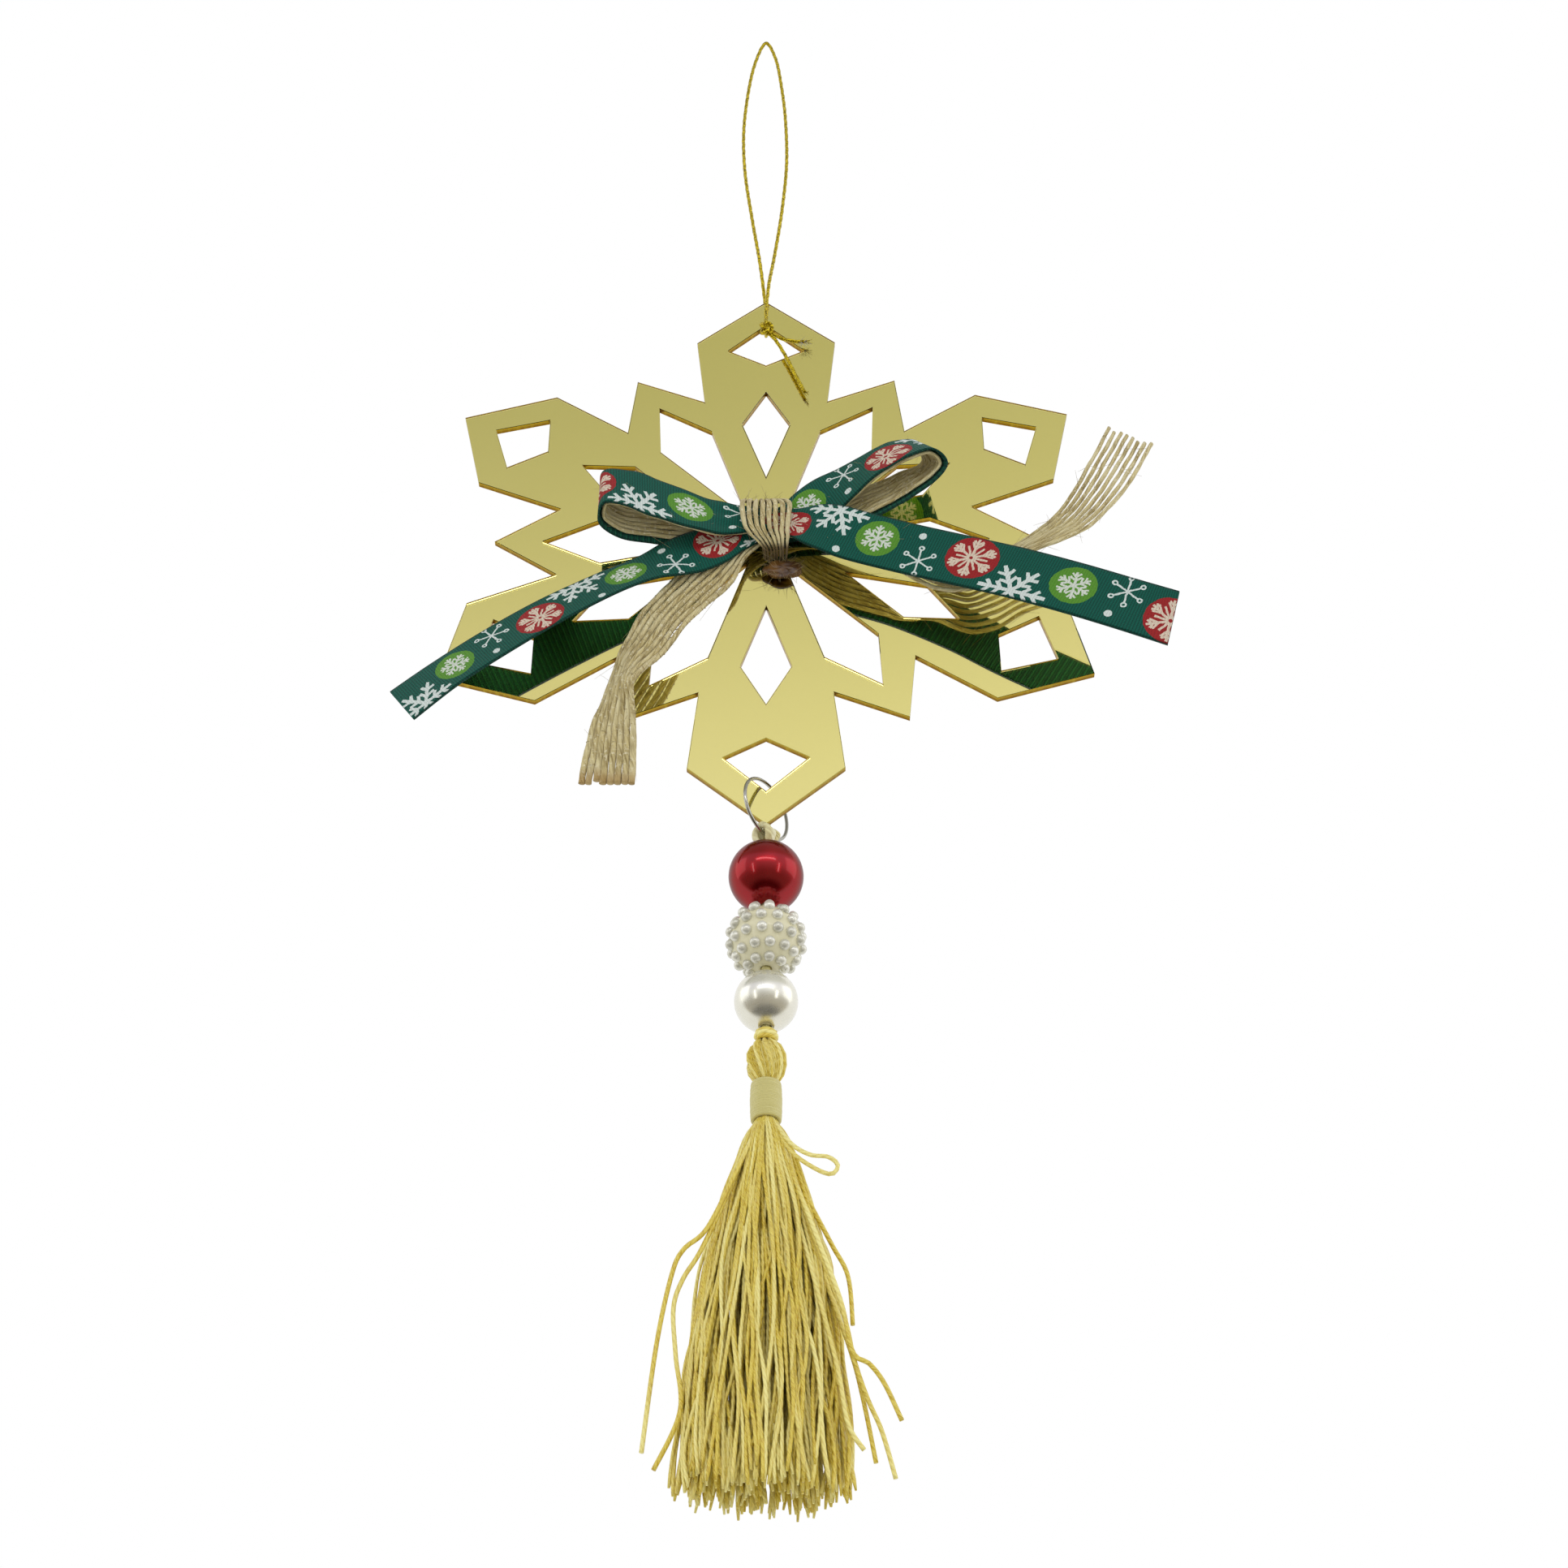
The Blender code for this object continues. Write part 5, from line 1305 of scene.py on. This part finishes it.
def make_string(material):
    """Satin cord through the beads, looped over the ring in three small bights."""
    build = Build()
    straight = np.zeros((120, 3))
    straight[:, 2] = np.linspace(red_high.z + 0.3 * MM, wrap_high.z - 1.0 * MM, len(straight))
    add_tube(build, straight, STRING_DIAMETER / 2, 12, STRING_LAY)
    through = np.array((math.cos(RING_TURN), -math.sin(RING_TURN), 0.0))
    half_span = RING_WIRE / 2 + GAP + STRAND_DIAMETER / 2
    shoulder = red_high.z + 1.3 * MM
    shape = [
        (-0.35, red_high.z, 0.15), (-1.0, shoulder, 0.7), (-1.0, RING_BOTTOM_Z, 1.0),
        (0.0, RING_BOTTOM_Z + GAP + STRAND_DIAMETER / 2, 1.0),
        (1.0, RING_BOTTOM_Z, 1.0), (1.0, shoulder, 0.7), (0.35, red_high.z, 0.15),
    ]
    for slide in (-BIGHT_SPACING, 0.0, BIGHT_SPACING):
        rows = []
        for side, height, spread in shape:
            slid = slide * spread
            rise = slid ** 2 / (2 * RING_INNER_RADIUS) if height >= RING_BOTTOM_Z else 0.0
            rows.append([*(through * (side * half_span) + RING_WAY * slid)[:2], height + rise])
        add_tube(build, resampled(catmull_rom(rows, 14), 0.0002), STRAND_DIAMETER / 2, 12, BIGHT_LAY)
    build.finish("satin_bead_string", [material], "satin_cord", "bead_string")


def add_lathe(build, outline, centre, steps, slot=0):
    """Closed outline of (radius, height) turned about the vertical through a centre."""
    radii, heights = np.array(outline).T
    turns = np.linspace(0.0, TURN, steps, endpoint=False)[:, None]
    grid = np.stack(np.broadcast_arrays(np.cos(turns) * radii, np.sin(turns) * radii, heights), axis=-1)
    start = build.add_verts(grid + np.array(centre))
    quads, row, column = grid_quads(steps, len(radii), rows_close=True)
    places = np.stack([heights[column % len(radii)] * TO_TEXTURE, row / steps], axis=-1)
    build.add_faces(start + quads, places, slot)


def add_bead(build, radius, centre, steps=64, rows=40):
    """Round bead with a softly rounded rim at each end of its bore."""
    bore = STRING_DIAMETER / 2 + 0.00012
    rim = math.asin(bore / radius) * 1.18
    angles = rim + (math.pi - 2 * rim) * np.arange(rows + 1) / rows
    outline = [(radius * math.sin(angle), radius * math.cos(angle)) for angle in angles]
    low = radius * math.cos(rim)
    outline += [(bore, -low + 0.00010), (bore, -low + 0.0006), (bore, low - 0.0006), (bore, low - 0.00010)]
    add_lathe(build, outline, centre, steps)


def make_beads(red, white, knobs, body):
    for name, node, slot, material in (
        ("red_pearl_bead", "red_bead", "red_pearl", red),
        ("white_glass_pearl", "white_pearl_bead", "white_pearl", white),
    ):
        low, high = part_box(node)
        build = Build()
        add_bead(build, (high.x - low.x) / 2, (0.0, 0.0, (high.z + low.z) / 2))
        build.finish(name, [material], slot, node)
    make_berry_bead(knobs, body)


def make_berry_bead(knob_material, body_material):
    """Cream bead set all over with small pearls in level rows."""
    low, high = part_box("berry_bead")
    centre = np.array((0.0, 0.0, (high.z + low.z) / 2))
    build = Build()
    add_bead(build, BERRY_BODY_RADIUS, centre)
    for row, count in enumerate(BERRY_ROW_COUNTS):
        down = math.pi / 2 + BERRY_ROW_STEP * (row - (len(BERRY_ROW_COUNTS) - 1) / 2)
        for index in range(count):
            turn = TURN * (index + 0.25) / count + dice.uniform(-0.03, 0.03)
            place = centre + ball_ways(down, turn) * (BERRY_BODY_RADIUS + BERRY_KNOB_RISE)
            add_ball(build, place, BERRY_KNOB_RADIUS, 1)
    build.finish("berry_pearl_bead", [body_material, knob_material], "ivory_pearl", "berry_bead")


def add_ball(build, centre, radius, slot, steps=14, rows=9):
    turns = np.linspace(0.0, TURN, steps, endpoint=False)
    downs = np.linspace(0.0, math.pi, rows + 1)[1:-1, None]
    start = build.add_verts(ball_ways(downs, turns) * radius + centre)
    build.add_faces(start + grid_quads(len(downs), steps)[0][:, [0, 3, 2, 1]], slot=slot)
    for row, height, flip in ((0, radius, False), (len(downs) - 1, -radius, True)):
        ring = start + row * steps + np.arange(steps)
        add_fan(build, ring, centre + np.array((0.0, 0.0, height)), flip, slot=slot)


def skirt_share(share):
    """Half width and half depth of the skirt at a share of its length, as parts of the full ones."""
    places, wide, deep = zip(*SKIRT_PROFILE)
    return np.interp(share, places, wide), np.interp(share, places, deep)


def thread_path(turn, inside, seed):
    """World points of one thread, from the top of the head down to its cut end."""
    chance = random.Random(seed)
    lean = chance.uniform(0.75, 0.95)
    rows = []
    ridge = math.cos(HEAD_BUNDLES * turn)
    bundled = turn - math.sin(HEAD_BUNDLES * turn) * 0.85 / HEAD_BUNDLES
    for share, size in HEAD_PROFILE:
        radius = (HEAD_RADIUS * size - THREAD_RADIUS - HEAD_RIDGE * (1.0 - ridge) * size) * inside
        angle = bundled + lean * (share - 0.5)
        rows.append([radius * math.cos(angle), radius * math.sin(angle), HEAD_TOP_Z - HEAD_HEIGHT * share])
    neck = (THREAD_NECK_RADIUS - THREAD_RADIUS * 0.6) * inside
    start_angle = turn + lean * 0.5
    for share in (0.35, 0.7, 1.0):
        height = COLLAR_TOP_Z - COLLAR_HEIGHT * share
        rows.append([neck * math.cos(start_angle), neck * math.sin(start_angle), height])
    drift = chance.uniform(-0.55, 0.55)
    bow = chance.uniform(-0.0014, 0.0014)
    waves = [(chance.uniform(0.0002, 0.0007), chance.uniform(0.7, 2.6), chance.uniform(0, 6.28))
             for _wave in range(3)]
    length = SKIRT_LENGTH * chance.uniform(0.955, 1.012)
    for share in np.linspace(0.05, 1.0, 12):
        wide, deep = skirt_share(share)
        angle = start_angle + drift * share
        ripple = sum(size * math.sin(count * TURN * share + phase) for size, count, phase in waves)
        ripple *= share ** 0.6
        reach = inside * (0.94 + 0.06 * share)
        x = max(SKIRT_HALF_WIDTH * wide - THREAD_RADIUS, 0.0) * reach * math.cos(angle) + ripple + bow * share
        y = max(SKIRT_HALF_DEPTH * deep - THREAD_RADIUS, 0.0) * reach * math.sin(angle) - ripple * 0.5
        rows.append([x, y, SKIRT_TOP_Z - length * share])
    return resampled(catmull_rom(rows, 5), 0.0015)


def make_threads(thread):
    """Bundle of threads in rings, one inside the other, with the strays and the loop outside them."""
    build = Build()
    number = 0
    for count, inside in THREAD_RINGS:
        for index in range(count):
            turn = TURN * (index + 0.37 * inside) / count + dice.uniform(-0.03, 0.03)
            points = thread_path(turn, inside, 500 + number)
            number += 1
            lengths = lengths_along(points)
            radii = THREAD_RADIUS * (1.0 + wander(lengths, 0.12, 0.011, number))
            radii = radii * np.interp(lengths, *THREAD_SWELL)
            radii[-1] *= 0.6
            add_tube(build, points, radii, 5)
    for stray in STRAY_THREADS + [STRAY_LOOP]:
        points = to_world(resampled(catmull_rom(np.array(stray) * MM, 8), 0.0007))
        points[:, 1] += PLATE_THICKNESS / 2
        add_tube(build, points, THREAD_RADIUS, 6)
    build.finish("tassel_thread_bundle", [thread], "gold_thread", "tassel_threads")


def make_collar(wrap):
    """Thread wound in level turns round the tassel's neck."""
    build = Build()
    turns = 24
    outline = []
    for index in range(turns):
        bulge = 0.00006 * (0.7 + 0.6 * dice.random())
        for part in range(4):
            share = (index + part / 4) / turns
            swell = 0.00012 * math.sin(math.pi * share) + bulge * math.sin(math.pi * part / 4)
            outline.append((COLLAR_RADIUS - 0.00004 + swell, -COLLAR_HEIGHT * share))
    inner = THREAD_NECK_RADIUS + 0.00012
    outline += [(COLLAR_RADIUS - 0.00012, -COLLAR_HEIGHT), (inner, -COLLAR_HEIGHT), (inner, 0.0)]
    add_lathe(build, outline, (0.0, 0.0, COLLAR_TOP_Z), 56)
    build.finish("tassel_collar_winding", [wrap], "gold_thread", "tassel_collar")


def make_neck_wrap(thread):
    """Three coils of thread round the string at the tassel's top."""
    build = Build()
    height = wrap_high.z - wrap_low.z
    strand = height * 0.21
    angles = np.linspace(0.0, TURN, 60)
    for coil, (share, size) in enumerate(((0.22, 0.90), (0.52, 1.0), (0.80, 0.88))):
        reach = (wrap_high.x - wrap_low.x) / 2 * size - strand
        points = np.column_stack([
            reach * np.cos(angles + coil), reach * np.sin(angles + coil),
            wrap_high.z - height * share - height * 0.10 * (angles / math.pi - 1.0),
        ])
        add_tube(build, points, strand, 10, NECK_LAY)
    build.finish("tassel_neck_winding", [thread], "gold_thread", "tassel_neck_wrap")


def add_softbox(name, place, width, height, radiance):
    """Flat light of an even radiance that faces the plate's centre."""
    data = bpy.data.lights.new(name, "AREA")
    data.shape = "RECTANGLE"
    data.size = width
    data.size_y = height
    data.energy = radiance * math.pi * width * height
    lamp = bpy.data.objects.new(name, data)
    lamp.location = place
    aim = Vector((0.0, 0.0, PLATE_CENTRE_Z)) - Vector(place)
    lamp.rotation_euler = aim.to_track_quat("-Z", "Y").to_euler()
    lamp.visible_camera = False
    bpy.context.scene.collection.objects.link(lamp)


def towards(azimuth, elevation, distance):
    """Place in front of the ornament, at an azimuth to its right and an elevation."""
    a, e = math.radians(azimuth), math.radians(elevation)
    return (distance * math.sin(a) * math.cos(e), -distance * math.cos(a) * math.cos(e),
            PLATE_CENTRE_Z + distance * math.sin(e))


def make_world():
    """Soft surroundings: bright above and behind, dimmer and warmer low in front, white to the camera."""
    world = bpy.data.worlds.new("studio")
    bpy.context.scene.world = world
    world.use_nodes = True
    tree = world.node_tree
    background = tree.nodes["Background"]
    x, y, z = split_fields(tree, tree.nodes.new("ShaderNodeTexCoord").outputs["Generated"])
    behind = y.ramp(-0.06, 0.14)
    roof = z.ramp(0.60, 0.76, 0.90, 0.54)
    low = z.ramp(-0.82, -0.55, 0.03, 0.34) + z.ramp(-0.40, 0.40, 0.0, 0.56)
    in_front = roof.lowest(low) * x.ramp(-0.25, 0.25, 0.90, 1.08)
    light = behind * 0.98 + (behind * -1.0 + 1.0) * in_front
    seen = Field(tree, tree.nodes.new("ShaderNodeLightPath").outputs["Is Camera Ray"])
    tree.links.new((light * (seen * -1.0 + 1.0) + seen).socket, background.inputs["Strength"])
    tints = tree.nodes.new("ShaderNodeValToRGB")
    stops = tints.color_ramp.elements
    stops[0].position, stops[1].position = WORLD_TINTS[0][0], WORLD_TINTS[1][0]
    for position, _colour in WORLD_TINTS[2:]:
        stops.new(position)
    for stop, (_position, colour) in zip(stops, WORLD_TINTS):
        stop.color = (*colour, 1.0)
    tree.links.new((z * 0.5 + 0.5).socket, tints.inputs["Fac"])
    backdrop = tree.nodes.new("ShaderNodeMix")
    backdrop.data_type = "RGBA"
    tree.links.new(behind.highest(seen).socket, backdrop.inputs["Factor"])
    tree.links.new(tints.outputs["Color"], backdrop.inputs["A"])
    backdrop.inputs["B"].default_value = (1.0, 1.0, 1.0, 1.0)
    tree.links.new(backdrop.outputs["Result"], background.inputs["Color"])


def make_studio():
    make_world()
    for name, azimuth, elevation, distance, width, height, radiance in SOFTBOXES:
        add_softbox(name, towards(azimuth, elevation, distance), width, height, radiance)
    build = Build()
    turns = np.linspace(0.0, TURN, 96, endpoint=False)
    ring = np.column_stack([np.cos(turns), np.sin(turns)]) * FLOOR_RADIUS
    build.add_verts(np.column_stack([ring, np.full(len(turns), FLOOR_Z)]))
    build.add_faces([np.arange(len(turns))])
    floor = build.finish("studio_floor", [pale_floor()], smooth=False)
    floor.visible_glossy = False
    bpy.context.scene.view_settings.view_transform = "Standard"


make_camera()
gold_cord = metallic_cord()
jute = jute_yarn("jute yarn")
jute_with_foot_shadow = jute_yarn("jute yarn with painted shadow at its feet", True)
rayon = satin("gold rayon thread", (0.56, 0.37, 0.012), (0.81, 0.66, 0.105), (0.94, 0.85, 0.31))
wrap = winding()
cream_cord = satin("cream satin cord", (0.42, 0.34, 0.10), (0.74, 0.68, 0.33), (0.86, 0.83, 0.55))
fray = satin("pale fray", (0.55, 0.55, 0.50), (0.75, 0.75, 0.70), (0.9, 0.9, 0.86))
make_hanging_cord(gold_cord, fray)
make_plate(clear_front(), mirror_back(), cut_edge(), backing_paint())
make_ribbon(green_print(), green_back())
make_jute(jute)
make_tie(jute_with_foot_shadow, jute)
make_glue(set_glue(), jute)
make_ring(bright_wire())
make_string(cream_cord)
make_beads(
    red_pearl(),
    pearl("white pearl", (0.76, 0.74, 0.63), (0.84, 0.825, 0.73), 0.80, 0.21),
    pearl("ivory knob pearl", (0.62, 0.61, 0.51), (0.78, 0.77, 0.67), 0.40, 0.24, True),
    pearl("ivory bead body", (0.70, 0.66, 0.43), (0.77, 0.73, 0.50), 0.0, 0.5),
)
make_threads(rayon)
make_collar(wrap)
make_neck_wrap(rayon)
make_studio()
